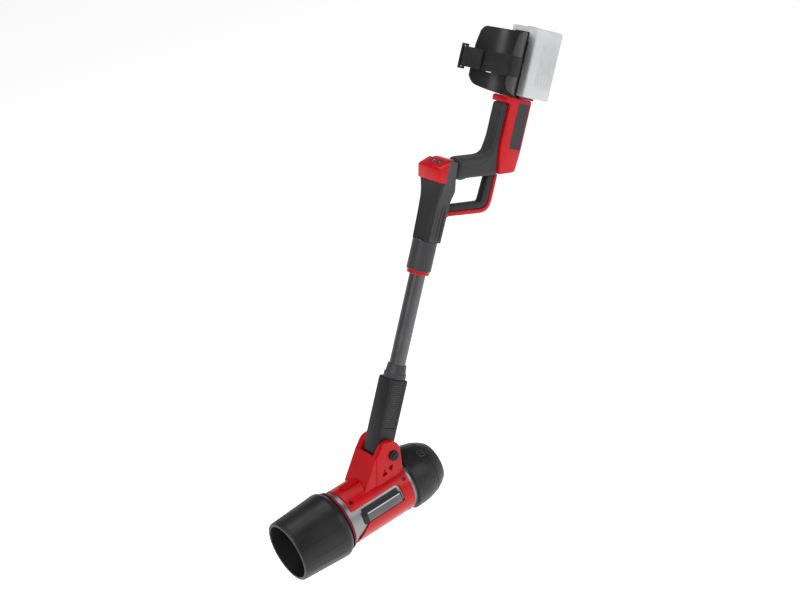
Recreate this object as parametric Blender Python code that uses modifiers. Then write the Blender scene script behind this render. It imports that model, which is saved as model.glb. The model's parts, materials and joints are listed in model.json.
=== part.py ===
"""A long-reach cordless leaf blower: a barrel with an axial fan, tilting on a telescopic tube, below a
looped handle with a forearm cuff and a slide-on battery. Sizes are millimetres; the helpers make metres.
World frame: +X is the way the air blows, +Y the tool's left, +Z up, with the origin in the middle of the
hand grip. Barrel pieces are drawn along X from the outlet plane at x = 0, and stick pieces as
(back, along, side) from the tilt pivot; two empties carry those two frames."""

import math

import bmesh
import bpy
from mathutils import Matrix, Vector

MM = 0.001
GAP = 0.3  # between touching pieces
SLIP = 0.35  # radial room of a running or sliding fit

# --- Barrel ---------------------------------------------------------------------------------------
DUCT_R = 54.2
DUCT_WALL = 2.7
SHELL_R = 57.0
NOZZLE_LEN = 115.0
NOZZLE_FRONT_R = 61.5
NOZZLE_SHOULDER_R = 68.0
NOZZLE_WALL = 5.0
SEAL_LEN = 4.6
SHELL_FRONT = -131.0
SHELL_LEN = 137.5
DUCT_SHOW = 8.5  # bare duct between the shell and the inlet
INLET_LEN = 76.5
INLET_R = 61.8
INLET_MOUTH_R = 39.0
INLET_WALL = 3.2
WINDOW_TOP = 32.7  # height of the side window's edges above the axis
WINDOW_BOTTOM = -3.0
WINDOW_BACK = -244.0
FAN_HUB_R = 22.0
FAN_LEN = 26.0
FAN_BLADES = 9
FAN_BACK = -248.0
POD_R = 24.0
POD_LEN = 82.0
VANES = 7
SHAFT_R = 3.0
MOTOR_R = 19.6
MOTOR_LEN = 56.0
ROTOR_R = 11.8
BEARING_R = 7.5

# --- Tilt joint -----------------------------------------------------------------------------------
PIVOT_X = -255.5
PIVOT_Z = 87.5
LEAN = math.radians(31.4)  # of the stick, back from the upright
EAR_R = 25.5
EAR_SHIFT = 6.5  # of the ear's round top, forward and up from the pin
EAR_T = 14.0
PIN_R = 6.0
KNOB_R = 10.5
KNOB_T = 6.5

# --- Stick ----------------------------------------------------------------------------------------
TUBE_N = -10.5  # tube axis, back from the pivot
TUBE_R = 15.75
TUBE_WALL = 1.5
GRIP_W = 43.4
GRIP_D = 42.0
GRIP_TOP = 145.0
YOKE_R = 21.5
COLLAR_TOP = 172.0
COLLAR_R = 22.0
LOCK_RING_AT = 351.0
LOCK_RING_LEN = 6.7
LOCK_RING_R = 22.0
TWIST_R = 24.0
HEAD_BOTTOM = 416.5
TUBE_BOTTOM = 42.0
TUBE_TOP = 527.0

# --- Handle ---------------------------------------------------------------------------------------
HEAD_W = 48.0
HEAD_TOP_W = 68.0
SPLIT_N = -20.0  # where the front and rear shells meet
CAP_BACK = -3.0  # end of the cap's tongue on top of the head
TONGUE_HALF = 22.0
CAP_BOTTOM = 530.0
BAR_FRONT = 15.0
BAR_T = 39.0
BAR_W = 36.0
BAR_RISE = math.radians(13.0)
BAR_LOW = 539.0  # its underside, where it meets the head
TRIGGER_PIN = (27.5, 552.5)
ARM_FRONT = 91.0
PAD_D = 12.0
PAD_TOP = 700.0
ARM_W = 44.0
ARM_BACK = 156.5
LEDGE = 713.0
BOX_BOTTOM = 566.0
LOOP_W = 18.0
STRIP_W = 20.0
STRIP_T = 7.0
GUARD_BAR_T = 12.5
GUARD_LOW = 486.5
LOOP_CORNER = 495.5
LABEL_LEN = 89.0
LABEL_DEPTH = 28.0
LABEL_EDGE = 4.0

# --- Cuff, strap and battery ------------------------------------------------------------------------
CUFF_R = 56.0
CUFF_WALL = 3.6
CUFF_N = 50.5
CUFF_TOP = 833.0
CUFF_SIDE_LOW = 724.0
CUFF_CORNER = 36.0
STRAP_W = 38.0
STRAP_T = 2.0
STRAP_AT = 769.0
BUCKLE_N = 37.0
BUCKLE_WIRE = 4.0
SLOT_AT = math.radians(48.0)
MOUNT_T = 8.0
RAIL_HALF = 18.0
RAIL_NECK = 14.0
BATTERY_W = 75.0
BATTERY_D = 69.0
BATTERY_LEN = 132.0
BATTERY_WALL = 2.5
CELL_R = 9.2
CELL_LEN = 65.0
CELLS = 5


def fresh_scene():
    for obj in list(bpy.data.objects):
        bpy.data.objects.remove(obj, do_unlink=True)
    root = bpy.context.scene.collection
    part = bpy.data.collections.new("leaf_blower")
    cutters = bpy.data.collections.new("cutters")
    cutters.hide_render = True
    root.children.link(part)
    root.children.link(cutters)
    return part, cutters


PART, CUTTERS = fresh_scene()


def frame(name, matrix):
    obj = bpy.data.objects.new(name, None)
    obj.matrix_world = matrix
    obj.empty_display_size = 0.02
    PART.objects.link(obj)
    return obj


def hand_point():
    """The middle of the hand grip, measured from the barrel's outlet centre."""
    back = (BAR_FRONT + ARM_FRONT) / 2
    along = BAR_LOW + (back - BAR_FRONT) * math.tan(BAR_RISE) + BAR_T / 2 / math.cos(BAR_RISE)
    x = PIVOT_X - back * math.cos(LEAN) - along * math.sin(LEAN)
    z = PIVOT_Z - back * math.sin(LEAN) + along * math.cos(LEAN)
    return Vector((x, 0, z)) * MM


# In a stick frame local X is forward (minus "back"), Y the left and Z along the tube.
HAND = hand_point()
PIVOT = Vector((PIVOT_X, 0, PIVOT_Z)) * MM
BARREL = frame("barrel_axis", Matrix.Translation(-HAND))
STICK = frame("stick_axis", Matrix.Translation(PIVOT - HAND) @ Matrix.Rotation(-LEAN, 4, "Y"))


def material(name, colour, roughness, metallic=0.0):
    mat = bpy.data.materials.new(name)
    mat.use_nodes = True
    shader = mat.node_tree.nodes["Principled BSDF"]
    shader.inputs["Base Color"].default_value = (*colour, 1.0)
    shader.inputs["Roughness"].default_value = roughness
    shader.inputs["Metallic"].default_value = metallic
    mat.diffuse_color = (*colour, 1.0)
    return mat


RED = (0.55, 0.006, 0.012)
DARK_RED = (0.16, 0.008, 0.02)
BLACK = (0.018, 0.018, 0.02)
DARK_GREY = (0.045, 0.045, 0.048)
SILVER = (0.42, 0.43, 0.44)
GHOST = (0.6, 0.6, 0.6)


def keep(obj, name, look, parent, cutter=False):
    """Names the object, gives it its own material and hangs it in its frame."""
    obj.name = name
    obj.data.name = name
    obj.parent = parent
    if cutter:
        CUTTERS.objects.link(obj)
        obj.hide_render = True
        obj.display_type = "WIRE"
        return obj
    PART.objects.link(obj)
    obj.data.materials.clear()
    obj.data.materials.append(material(name, *look))
    return obj


def mesh_object(bm, name):
    bmesh.ops.recalc_face_normals(bm, faces=bm.faces)
    mesh = bpy.data.meshes.new(name)
    bm.to_mesh(mesh)
    bm.free()
    return bpy.data.objects.new(name, mesh)


def rounded(corners, steps=5):
    """An outline with each corner (x, y, radius) turned into an arc."""
    out = []
    count = len(corners)
    for i, (x, y, radius) in enumerate(corners):
        here = Vector((x, y))
        before = Vector(corners[i - 1][:2]) - here
        after = Vector(corners[(i + 1) % count][:2]) - here
        half = before.angle(after) / 2
        if radius <= 0 or half > math.radians(89.5):
            out.append(here)
            continue
        reach = min(radius / math.tan(half), before.length * 0.49, after.length * 0.49)
        start = here + before.normalized() * reach
        end = here + after.normalized() * reach
        for k in range(steps + 1):
            t = k / steps
            out.append(start * (1 - t) ** 2 + here * 2 * t * (1 - t) + end * t * t)
    return out


def bevelled(obj, width, segments=2, angle=40.0):
    mod = obj.modifiers.new("edges", "BEVEL")
    mod.width = width * MM
    mod.segments = segments
    mod.limit_method = "ANGLE"
    mod.angle_limit = math.radians(angle)
    mod.use_clamp_overlap = True
    return obj


def prism(name, outline, low, high, plane="side"):
    """A flat outline pushed through from low to high.
    side: outline is (back, along), pushed across; wall: outline is (back, across), pushed along;
    face: outline is (across, along), pushed back; barrel: outline is (X, Z), pushed across."""
    place = {
        "side": lambda a, b, h: (-a, h, b),
        "wall": lambda a, b, h: (-a, b, h),
        "face": lambda a, b, h: (-h, a, b),
        "barrel": lambda a, b, h: (a, h, b),
    }[plane]
    bm = bmesh.new()
    rings = []
    for h in (low, high):
        ring = [bm.verts.new(Vector(place(p[0], p[1], h)) * MM) for p in outline]
        rings.append(ring)
    bm.faces.new(rings[0])
    bm.faces.new(rings[1])
    count = len(outline)
    for i in range(count):
        j = (i + 1) % count
        bm.faces.new((rings[0][i], rings[0][j], rings[1][j], rings[1][i]))
    return mesh_object(bm, name)


def box(name, back, across, along):
    """A block between two values of each of back, across and along."""
    low, high = across
    outline = [(back[0], along[0]), (back[1], along[0]), (back[1], along[1]), (back[0], along[1])]
    return prism(name, outline, low, high)


def turned(name, profile, steps=48, axis="Z", at=(0, 0, 0)):
    """A closed section (radius, height) spun round an axis; a point on the axis closes it there."""
    mesh = bpy.data.meshes.new(name)
    points = [(r * MM, 0, h * MM) for r, h in profile]
    edges = [(i, i + 1) for i in range(len(points) - 1)]
    if profile[0][0] > 0 or profile[-1][0] > 0:
        edges.append((len(points) - 1, 0))
    mesh.from_pydata(points, edges, [])
    obj = bpy.data.objects.new(name, mesh)
    mod = obj.modifiers.new("turn", "SCREW")
    mod.angle = math.tau
    mod.steps = mod.render_steps = steps
    mod.use_merge_vertices = True
    mod.merge_threshold = 0.00001
    mod.use_smooth_shade = True
    turn = {"Z": (0, 0, 0), "X": (0, math.pi / 2, 0), "Y": (-math.pi / 2, 0, 0)}[axis]
    obj.rotation_euler = turn
    obj.location = Vector(at) * MM
    return obj


def tube_at(name, inner, outer, low, high, steps=48, back=0.0):
    profile = [(outer, high), (outer, low), (inner, low), (inner, high)]
    if inner <= 0:
        profile = [(0, high), (outer, high), (outer, low), (0, low)]
    return turned(name, profile, steps, at=(-back, 0, 0))


def rod_across(name, radius, low, high, back=0.0, along=0.0, steps=24):
    profile = [(0, high), (radius, high), (radius, low), (0, low)]
    return turned(name, profile, steps, "Y", (-back, 0, along))


def loft(name, rings):
    """Joins rings of equal count into one closed solid."""
    bm = bmesh.new()
    rows = [[bm.verts.new(Vector(p) * MM) for p in ring] for ring in rings]
    count = len(rings[0])
    for low, high in zip(rows, rows[1:]):
        for i in range(count):
            j = (i + 1) % count
            bm.faces.new((low[i], low[j], high[j], high[i]))
    bm.faces.new(rows[0])
    bm.faces.new(rows[-1])
    return mesh_object(bm, name)


def wedge_section(back_low, back_high, wide, narrow, along, chamfer):
    """As section, but narrowing from wide at the front to narrow at the back."""
    c = chamfer
    outline = [
        (back_low, wide), (back_high - c, narrow), (back_high, narrow - c), (back_high, c - narrow),
        (back_high - c, -narrow), (back_low, -wide),
    ]
    return [(-n, u, along) for n, u in outline]


def cut(obj, cutter, parent, operation="DIFFERENCE"):
    """Takes the cutter from the object, or joins it on."""
    keep(cutter, f"{obj.name}_{operation[:3].lower()}_{len(obj.modifiers)}", None, parent, cutter=True)
    mod = obj.modifiers.new(cutter.name, "BOOLEAN")
    mod.operation = operation
    mod.solver = "EXACT"
    mod.object = cutter
    return obj


def section(back_low, back_high, half, along, chamfer):
    """A ring with chamfered front corners, seen down the stick: (x forward, y, z)."""
    c = chamfer
    outline = [
        (back_low, -half + c), (back_low, half - c), (back_low + c, half), (back_high, half),
        (back_high, -half), (back_low + c, -half),
    ]
    return [(-n, u, along) for n, u in outline]


def barrel_round(name, profile, steps=48):
    """Turned round the barrel's axis from (radius, X) points."""
    return turned(name, profile, steps, "X")


# --- Barrel pieces ----------------------------------------------------------------------------------

DUCT_IN = DUCT_R - DUCT_WALL
DUCT_FRONT = -NOZZLE_LEN + SEAL_LEN
SHELL_BACK = SHELL_FRONT - SHELL_LEN
DUCT_BACK = SHELL_BACK - DUCT_SHOW
INLET_BACK = DUCT_BACK - INLET_LEN
SEAT_R = DUCT_R + GAP
MOUTH_IN = INLET_MOUTH_R + 4 - INLET_WALL


def duct():
    profile = [(DUCT_R, DUCT_FRONT), (DUCT_R, DUCT_BACK - 4), (DUCT_IN, DUCT_BACK - 4), (DUCT_IN, DUCT_FRONT)]
    keep(barrel_round("duct", profile), "air_duct", (SILVER, 0.35, 0.8), BARREL)


def nozzle():
    inner = NOZZLE_FRONT_R - NOZZLE_WALL
    shoulder = NOZZLE_LEN - 14
    profile = [
        (NOZZLE_FRONT_R - 1.5, 0), (NOZZLE_FRONT_R, -1.5), (NOZZLE_SHOULDER_R, -shoulder),
        (NOZZLE_SHOULDER_R - 0.8, -shoulder - 6), (NOZZLE_SHOULDER_R - 3, -shoulder - 11),
        (NOZZLE_SHOULDER_R - 6, -NOZZLE_LEN), (SEAT_R, -NOZZLE_LEN), (SEAT_R, DUCT_FRONT + GAP),
        (DUCT_IN, DUCT_FRONT + GAP), (inner - 1, -8), (inner + 1.5, 0),
    ]
    keep(barrel_round("nozzle", profile), "nozzle", (BLACK, 0.45), BARREL)


def nozzle_seal():
    front = -NOZZLE_LEN - GAP
    mid = front - SEAL_LEN / 2
    rim = NOZZLE_SHOULDER_R - 6.5
    profile = [
        (rim, front), (rim, mid + 0.5), (rim - 1.6, mid), (rim - 0.8, mid - 0.5),
        (rim - 0.8, front - SEAL_LEN),
        (SEAT_R, front - SEAL_LEN), (SEAT_R, front),
    ]
    keep(barrel_round("seal", profile), "nozzle_seal", (DARK_RED, 0.5), BARREL)


def motor_shell():
    profile = [
        (SHELL_R - 1, SHELL_FRONT), (SHELL_R, SHELL_FRONT - 1), (SHELL_R, SHELL_BACK + 1),
        (SHELL_R - 1, SHELL_BACK), (SEAT_R, SHELL_BACK), (SEAT_R, SHELL_FRONT),
    ]
    shell = keep(barrel_round("shell", profile), "motor_shell", (RED, 0.3), BARREL)
    flare = SHELL_FRONT - 26
    window = rounded([
        (SHELL_FRONT + 5, WINDOW_TOP + 4, 0), (SHELL_FRONT - 4, WINDOW_TOP, 3), (WINDOW_BACK, WINDOW_TOP, 9),
        (WINDOW_BACK, WINDOW_BOTTOM, 3), (flare, WINDOW_BOTTOM, 6), (SHELL_FRONT + 5, WINDOW_BOTTOM - 36, 0),
    ])
    for name, low, high in (("left", 20, SHELL_R + 9), ("right", -SHELL_R - 9, -20)):
        cut(shell, prism("window_" + name, window, low, high, "barrel"), BARREL)
    rib = [(-146, SHELL_R - 2), (-182, SHELL_R - 2), (-182, SHELL_R + 4), (-146, SHELL_R + 2)]
    cut(shell, prism("rib", rib, -9, 9, "barrel"), BARREL, "UNION")
    for x, angle in SCREW_SPOTS:
        cut(shell, radial_rod("hole", SCREW_R, DUCT_R - 1, SHELL_R + 5, x, angle), BARREL)


SCREW_R = 4.2
SCREW_SPOTS = [
    (SHELL_FRONT - 9.5, 51.5), (SHELL_BACK + 10, 36.5), (SHELL_BACK + 12, -41.5),
    (SHELL_FRONT - 9.5, 128.5), (SHELL_BACK + 10, 143.5), (SHELL_BACK + 12, 221.5),
]


def radial_rod(name, radius, low, high, x, degrees, steps=12):
    """A rod pointing out from the barrel's axis; the angle runs from the left over the top."""
    obj = turned(name, [(0, high), (radius, high), (radius, low), (0, low)], steps)
    obj.rotation_euler = (math.radians(degrees) - math.pi / 2, 0, 0)
    obj.location = (x * MM, 0, 0)
    return obj


def shell_screws():
    for i, (x, angle) in enumerate(SCREW_SPOTS[:2]):
        screw = radial_rod("screw", SCREW_R - SLIP, SEAT_R + 0.1, SHELL_R - 1.6, x, angle)
        keep(screw, f"shell_screw_{i + 1}", ((0.03, 0.03, 0.03), 0.35, 0.8), BARREL)


def rating_plate():
    """A curved plate on the duct in the window, with the black frame round its lower part."""
    low, high = math.radians(-1.5), math.radians(18.0)
    frame_low, frame_high = math.radians(-2.6), math.radians(20.0)
    reach = (SHELL_FRONT - 27, WINDOW_BACK + 6)
    plate = arc_plate("plate", DUCT_R + GAP, DUCT_R + 2.2, low, high, *reach)
    keep(plate, "rating_plate", ((0.09, 0.09, 0.1), 0.55), BARREL)
    edge = arc_plate("frame", DUCT_R + GAP, DUCT_R + 1.8, frame_low, frame_high, reach[0] + 9, reach[1] - 2.5)
    edge = keep(edge, "window_frame", (BLACK, 0.5), BARREL)
    room = (reach[0] + GAP, reach[1] - GAP)
    pad = math.radians(0.35)
    cut(edge, arc_plate("frame_hole", DUCT_R - 3, DUCT_R + 6, low - pad, high + pad, *room), BARREL)


def arc_plate(name, inner, outer, low, high, front, back, steps=8):
    rings = []
    for x in (front, back):
        ring = []
        for k in range(steps + 1):
            a = low + (high - low) * k / steps
            ring.append((x, outer * math.cos(a), outer * math.sin(a)))
        for k in range(steps, -1, -1):
            a = low + (high - low) * k / steps
            ring.append((x, inner * math.cos(a), inner * math.sin(a)))
        rings.append(ring)
    return loft(name, rings)


def inlet():
    front = DUCT_BACK
    ring_back = front - 9
    ring = [
        (INLET_R - 1, front), (INLET_R, front - 1), (INLET_R, ring_back), (SEAT_R, ring_back),
        (SEAT_R, front),
    ]
    keep(barrel_round("inlet_ring", ring), "inlet_ring", (BLACK, 0.4), BARREL)
    start = ring_back - GAP
    depth = start - INLET_BACK
    arc = []
    for k in range(9):
        t = k / 8
        radius = INLET_MOUTH_R + 4 + (INLET_R - INLET_MOUTH_R - 4) * math.cos(t * math.pi / 2) ** 0.75
        arc.append((radius, start - depth * (0.08 + 0.9 * t) if k else start))
    outer = arc + [(INLET_MOUTH_R + 3.2, INLET_BACK)]
    inner = [(max(r - INLET_WALL, MOUTH_IN), x) for r, x in reversed(arc)]
    dome = keep(barrel_round("dome", outer + inner), "inlet_housing", (BLACK, 0.42), BARREL)
    for k in range(3):
        slot = radial_rod("slot", 2.4, INLET_R - 14, INLET_R + 6, start - 34, 62.0 + 14 * (k - 1) / 2)
        if k == 1:
            cut(dome, slot, BARREL)
    latch = radial_rod("latch", 2.4 - SLIP, INLET_R - 12, INLET_R - 3.6, start - 34, 62.0)
    keep(latch, "inlet_latch", (DARK_GREY, 0.4), BARREL)


def inlet_grille():
    """A ring with crossing bars and a hub, seated in the inlet's mouth."""
    outer = MOUTH_IN - GAP
    back = INLET_BACK + 1.5
    front = back + 4
    ring = [(outer, front), (outer, back), (outer - 3.5, back), (outer - 3.5, front)]
    grille = keep(barrel_round("grille", ring, 48), "inlet_grille", (BLACK, 0.5), BARREL)
    for radius in (13.0, 24.0):
        wide, thin = radius + 1.2, radius - 1.2
        hoop = [(wide, front - 1), (wide, back + 0.5), (thin, back + 0.5), (thin, front - 1)]
        cut(grille, barrel_round("hoop", hoop, 36), BARREL, "UNION")
    hub = barrel_round("hub", [(0, front), (5, front), (5, back), (0, back)], 24)
    cut(grille, hub, BARREL, "UNION")
    for k in range(4):
        angle = math.pi * k / 4
        flat = [(front - 0.5, -1.2), (back + 0.2, -1.2), (back + 0.2, 1.2), (front - 0.5, 1.2)]
        bar = prism("spoke", flat, -outer + 1.5, outer - 1.5, "barrel")
        bar.rotation_euler = (angle, 0, 0)
        cut(grille, bar, BARREL, "UNION")


FAN_FRONT = FAN_BACK + FAN_LEN
POD_BACK = FAN_FRONT + 4
POD_FRONT = POD_BACK + POD_LEN
MOTOR_BACK = POD_BACK + 8
MOTOR_FRONT = MOTOR_BACK + MOTOR_LEN


def blade_set(name, count, root, tip, back, front, pitch, thick):
    """Thin twisted blades standing out from the axis, as one mesh."""
    bm = bmesh.new()
    for k in range(count):
        turn = Matrix.Rotation(math.tau * k / count, 3, "X")
        rows = []
        for j in range(4):
            s = j / 3
            radius = root + (tip - root) * s
            swing = pitch * (1 - 0.35 * s)
            ring = []
            for x, side in ((back, -1), (back, 1), (front, 1), (front, -1)):
                mid = (x - (back + front) / 2) / (front - back)
                across = mid * swing + side * thick / 2
                ring.append(bm.verts.new(turn @ Vector((x, across, radius)) * MM))
            rows.append(ring)
        for low, high in zip(rows, rows[1:]):
            for i in range(4):
                j = (i + 1) % 4
                bm.faces.new((low[i], low[j], high[j], high[i]))
        bm.faces.new(rows[0])
        bm.faces.new(rows[-1])
    return mesh_object(bm, name)


def fan():
    hub = [
        (0, FAN_BACK - 10), (10, FAN_BACK - 8), (18, FAN_BACK - 3), (FAN_HUB_R, FAN_BACK + 4),
        (FAN_HUB_R, FAN_FRONT), (SHAFT_R + 0.15, FAN_FRONT), (SHAFT_R + 0.15, FAN_BACK), (0, FAN_BACK),
    ]
    wheel = keep(barrel_round("hub", list(reversed(hub)), 48), "fan", (DARK_GREY, 0.4), BARREL)
    reach = math.sqrt((DUCT_IN - 1.2) ** 2 - 1) - 1
    blades = blade_set("blades", FAN_BLADES, FAN_HUB_R - 3, reach, FAN_BACK + 6, FAN_FRONT - 2, 12.0, 2.0)
    cut(wheel, blades, BARREL, "UNION")


def motor_pod():
    wall = 2.5
    profile = [
        (POD_R, POD_FRONT), (POD_R, POD_BACK), (BEARING_R + 3, POD_BACK), (BEARING_R + 3, POD_BACK + 3),
        (POD_R - wall, POD_BACK + 3), (POD_R - wall, POD_FRONT),
    ]
    pod = keep(barrel_round("pod", profile, 48), "motor_pod", (DARK_GREY, 0.5), BARREL)
    reach = DUCT_IN - 0.5
    vanes = blade_set("vanes", VANES, POD_R - 1.2, reach, POD_BACK + 12, POD_FRONT - 24, -6.0, 2.2)
    cut(pod, vanes, BARREL, "UNION")
    cone = [
        (0, POD_FRONT + 34), (5, POD_FRONT + 32), (14, POD_FRONT + 21), (21, POD_FRONT + 8),
        (POD_R, POD_FRONT + GAP),
        (POD_R - 6, POD_FRONT + GAP), (14, POD_FRONT + 8), (0, POD_FRONT + 16),
    ]
    keep(barrel_round("cone", cone, 48), "tail_cone", (DARK_GREY, 0.45), BARREL)


def motor():
    wall = 3.0
    back, front = MOTOR_BACK, MOTOR_FRONT
    inner = ROTOR_R + 0.6
    profile = [
        (MOTOR_R, front), (MOTOR_R, back), (BEARING_R + GAP, back), (BEARING_R + GAP, back + wall),
        (inner, back + wall), (inner, front - wall), (BEARING_R + GAP, front - wall),
        (BEARING_R + GAP, front),
    ]
    keep(barrel_round("can", profile, 40), "motor_stator", ((0.1, 0.1, 0.1), 0.35, 0.9), BARREL)
    shaft = [(0, front + 1), (SHAFT_R, front + 1), (SHAFT_R, FAN_BACK + 1), (0, FAN_BACK + 1)]
    keep(barrel_round("shaft", shaft, 20), "motor_shaft", ((0.5, 0.5, 0.5), 0.2, 1.0), BARREL)
    core = [
        (ROTOR_R, front - wall - 5), (ROTOR_R, back + wall + 5), (SHAFT_R + 0.15, back + wall + 5),
        (SHAFT_R + 0.15, front - wall - 5),
    ]
    keep(barrel_round("core", core, 32), "motor_rotor", ((0.3, 0.3, 0.32), 0.4, 0.9), BARREL)
    for name, end in (("bearing_rear", back), ("bearing_front", front - wall)):
        race = [(BEARING_R, end + wall), (BEARING_R, end), (SHAFT_R + 0.2, end), (SHAFT_R + 0.2, end + wall)]
        keep(barrel_round(name, race, 24), name, ((0.5, 0.5, 0.5), 0.25, 1.0), BARREL)


# --- Tilt bracket and pivot -----------------------------------------------------------------------

EAR_IN = GRIP_W / 2 + SLIP
EAR_OUT = EAR_IN + EAR_T
YOKE_FRONT = TUBE_N - GRIP_D / 2 - 1.5
YOKE_BACK = YOKE_FRONT + GRIP_D


def at_stick(back, along):
    """World (X, Z) of a point of the stick."""
    s, c = math.sin(LEAN), math.cos(LEAN)
    return (PIVOT_X - back * c - along * s, PIVOT_Z - back * s + along * c)


def tilt_bracket():
    lip_x, lip_z = at_stick(YOKE_FRONT - 4, -7.0)
    foot_x = lip_x + 44
    floor = 30.0
    web_half = EAR_OUT - 1.6
    web = [
        (foot_x, floor), (foot_x, SHELL_R - 9), (lip_x + 1.5, lip_z), (lip_x - 2.2, lip_z - 1),
        (lip_x - 2.2, floor),
    ]
    bracket = prism("web", web, -web_half, web_half, "barrel")
    bracket = keep(bracket, "tilt_bracket", (RED, 0.32), BARREL)
    ear = [(lip_x + 2, lip_z - 2)]
    for k in range(12):
        a = math.radians(44 + k * 13.6)
        ear.append((PIVOT_X + EAR_SHIFT + EAR_R * math.cos(a), PIVOT_Z + EAR_SHIFT + EAR_R * math.sin(a)))
    ear += [(PIVOT_X - 11, floor + 1), (lip_x + 20, floor + 1)]
    ear = [p for p in ear if p[1] >= floor]
    for low, high in ((EAR_IN, EAR_OUT), (-EAR_OUT, -EAR_IN)):
        cut(bracket, bevelled(prism("ear", ear, low, high, "barrel"), 1.2), BARREL, "UNION")
    front_pocket = [(PIVOT_X + 27, PIVOT_Z - 16), (PIVOT_X + 36, 56), (PIVOT_X + 22, 56)]
    rear_pocket = [(PIVOT_X + 4, PIVOT_Z - 17), (PIVOT_X + 19, PIVOT_Z - 17), (PIVOT_X + 12, 57)]
    for low, high in ((EAR_OUT - 5, EAR_OUT + 4), (-EAR_OUT - 4, -EAR_OUT + 5)):
        for pocket in (front_pocket, rear_pocket):
            outline = rounded([(*p, 2) for p in pocket], 3)
            cut(bracket, prism("pocket", outline, low, high, "barrel"), BARREL)
    seat = [(0, -100), (SHELL_R + 0.2, -100), (SHELL_R + 0.2, -340), (0, -340)]
    cut(bracket, barrel_round("seat", seat, 96), BARREL)
    hole = [(0, 60), (PIN_R + SLIP, 60), (PIN_R + SLIP, -60), (0, -60)]
    cut(bracket, turned("pin_hole", hole, 32, "Y", (PIVOT_X, 0, PIVOT_Z)), BARREL)


def tilt_pin():
    head = EAR_OUT + GAP
    profile = [
        (0, head + KNOB_T), (KNOB_R - 4, head + KNOB_T), (KNOB_R - 3.5, head + KNOB_T - 1.5),
        (KNOB_R - 1, head + KNOB_T - 1.5), (KNOB_R, head + KNOB_T - 2.5), (KNOB_R, head), (PIN_R, head),
        (PIN_R, -EAR_OUT - 7), (0, -EAR_OUT - 7),
    ]
    pin = turned("pin", profile, 32, "Y", (PIVOT_X, 0, PIVOT_Z))
    keep(pin, "tilt_bolt", (BLACK, 0.35), BARREL)
    bore = PIN_R / math.cos(math.pi / 6) + GAP
    nut = [
        (KNOB_R, -head), (KNOB_R, -head - 5), (KNOB_R - 1.5, -head - 6), (bore, -head - 6), (bore, -head),
    ]
    keep(
        turned("nut", nut, 6, "Y", (PIVOT_X, 0, PIVOT_Z)), "tilt_nut", ((0.03, 0.03, 0.03), 0.3, 0.8), BARREL,
    )


# --- Stick ----------------------------------------------------------------------------------------


def lower_grip():
    half = GRIP_W / 2
    toe = YOKE_FRONT + 0.4
    outline = [(toe, GRIP_TOP), (toe, -8.0)]
    for k in range(9):
        a = math.radians(228 + k * 16.5)
        outline.append((YOKE_R * math.cos(a), YOKE_R * math.sin(a)))
    outline += [(YOKE_BACK, 22.0), (YOKE_BACK, GRIP_TOP)]
    grip = keep(prism("grip", outline, -half, half), "lower_grip", (BLACK, 0.55), STICK)
    bevelled(grip, 4.5, 3)
    cut(grip, tube_at("bore", 0, TUBE_R + GAP, TUBE_BOTTOM - GAP, GRIP_TOP + 9, 40, TUBE_N), STICK)
    cut(grip, rod_across("pin_bore", PIN_R + SLIP, -60, 60), STICK)
    mid = (YOKE_FRONT + YOKE_BACK) / 2
    for side in (-1, 1):
        wall = sorted((side * (half - 2.2), side * (half + 5)))
        cut(grip, box("recess", (mid - 12.5, mid + 12.5), wall, (48, 136)), STICK)
        ribs = rib_panel(side, half, 49, 135, 20)
        name = "grip_panel_left" if side > 0 else "grip_panel_right"
        keep(prism("ribs", ribs, mid - 12, mid + 12, "face"), name, (BLACK, 0.6), STICK)


def rib_panel(side, half, low, high, count):
    """A comb outline (across, along) of fine ribs over a thin back."""
    back = half - 2.2 + GAP
    pitch = (high - low) / count
    outline = [(side * back, low), (side * back, high)]
    for k in range(count):
        top = high - k * pitch
        outline += [(side * (half - 0.1), top), (side * (half - 0.1), top - pitch * 0.55)]
        outline += [(side * (back + 0.7), top - pitch * 0.6), (side * (back + 0.7), top - pitch * 0.95)]
    return outline


def tube_and_collars():
    tube = tube_at("tube", TUBE_R - TUBE_WALL, TUBE_R, TUBE_BOTTOM, TUBE_TOP, 48, TUBE_N)
    keep(tube, "telescopic_tube", ((0.12, 0.12, 0.125), 0.35, 0.9), STICK)
    low, fit = GRIP_TOP + GAP, TUBE_R + SLIP
    profile = [
        (COLLAR_R - 4.5, COLLAR_TOP), (COLLAR_R - 3.5, COLLAR_TOP - 1), (COLLAR_R - 2.2, low + 12),
        (COLLAR_R - 1.4, low + 10), (COLLAR_R, low + 9), (COLLAR_R, low), (fit, low), (fit, COLLAR_TOP),
    ]
    keep(turned("collar", profile, 40, at=(-TUBE_N, 0, 0)), "lower_collar", (DARK_GREY, 0.5), STICK)
    top = LOCK_RING_AT + LOCK_RING_LEN
    ring = [
        (LOCK_RING_R, top), (LOCK_RING_R, LOCK_RING_AT + 1), (LOCK_RING_R - 1, LOCK_RING_AT),
        (fit, LOCK_RING_AT), (fit, top),
    ]
    keep(turned("lock_ring", ring, 40, at=(-TUBE_N, 0, 0)), "lock_ring", (RED, 0.35), STICK)
    start, end, step = top + GAP, HEAD_BOTTOM - GAP, top + 24
    sleeve = [
        (TWIST_R - 0.8, end), (TWIST_R, end - 0.8), (TWIST_R, start + 1.5), (TWIST_R - 1.2, start),
        (fit, start),
        (fit, step), (TWIST_R - 3.2, step), (TWIST_R - 3.2, end),
    ]
    keep(turned("sleeve", sleeve, 48, at=(-TUBE_N, 0, 0)), "twist_collar", (DARK_GREY, 0.4), STICK)
    bush = [
        (TWIST_R - 3.6, end), (TWIST_R - 3.6, step + 8), (TWIST_R - 5, step + 1), (fit, step + 1), (fit, end),
    ]
    keep(turned("bush", bush, 32, at=(-TUBE_N, 0, 0)), "clamp_bush", ((0.7, 0.7, 0.68), 0.6), STICK)


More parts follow.
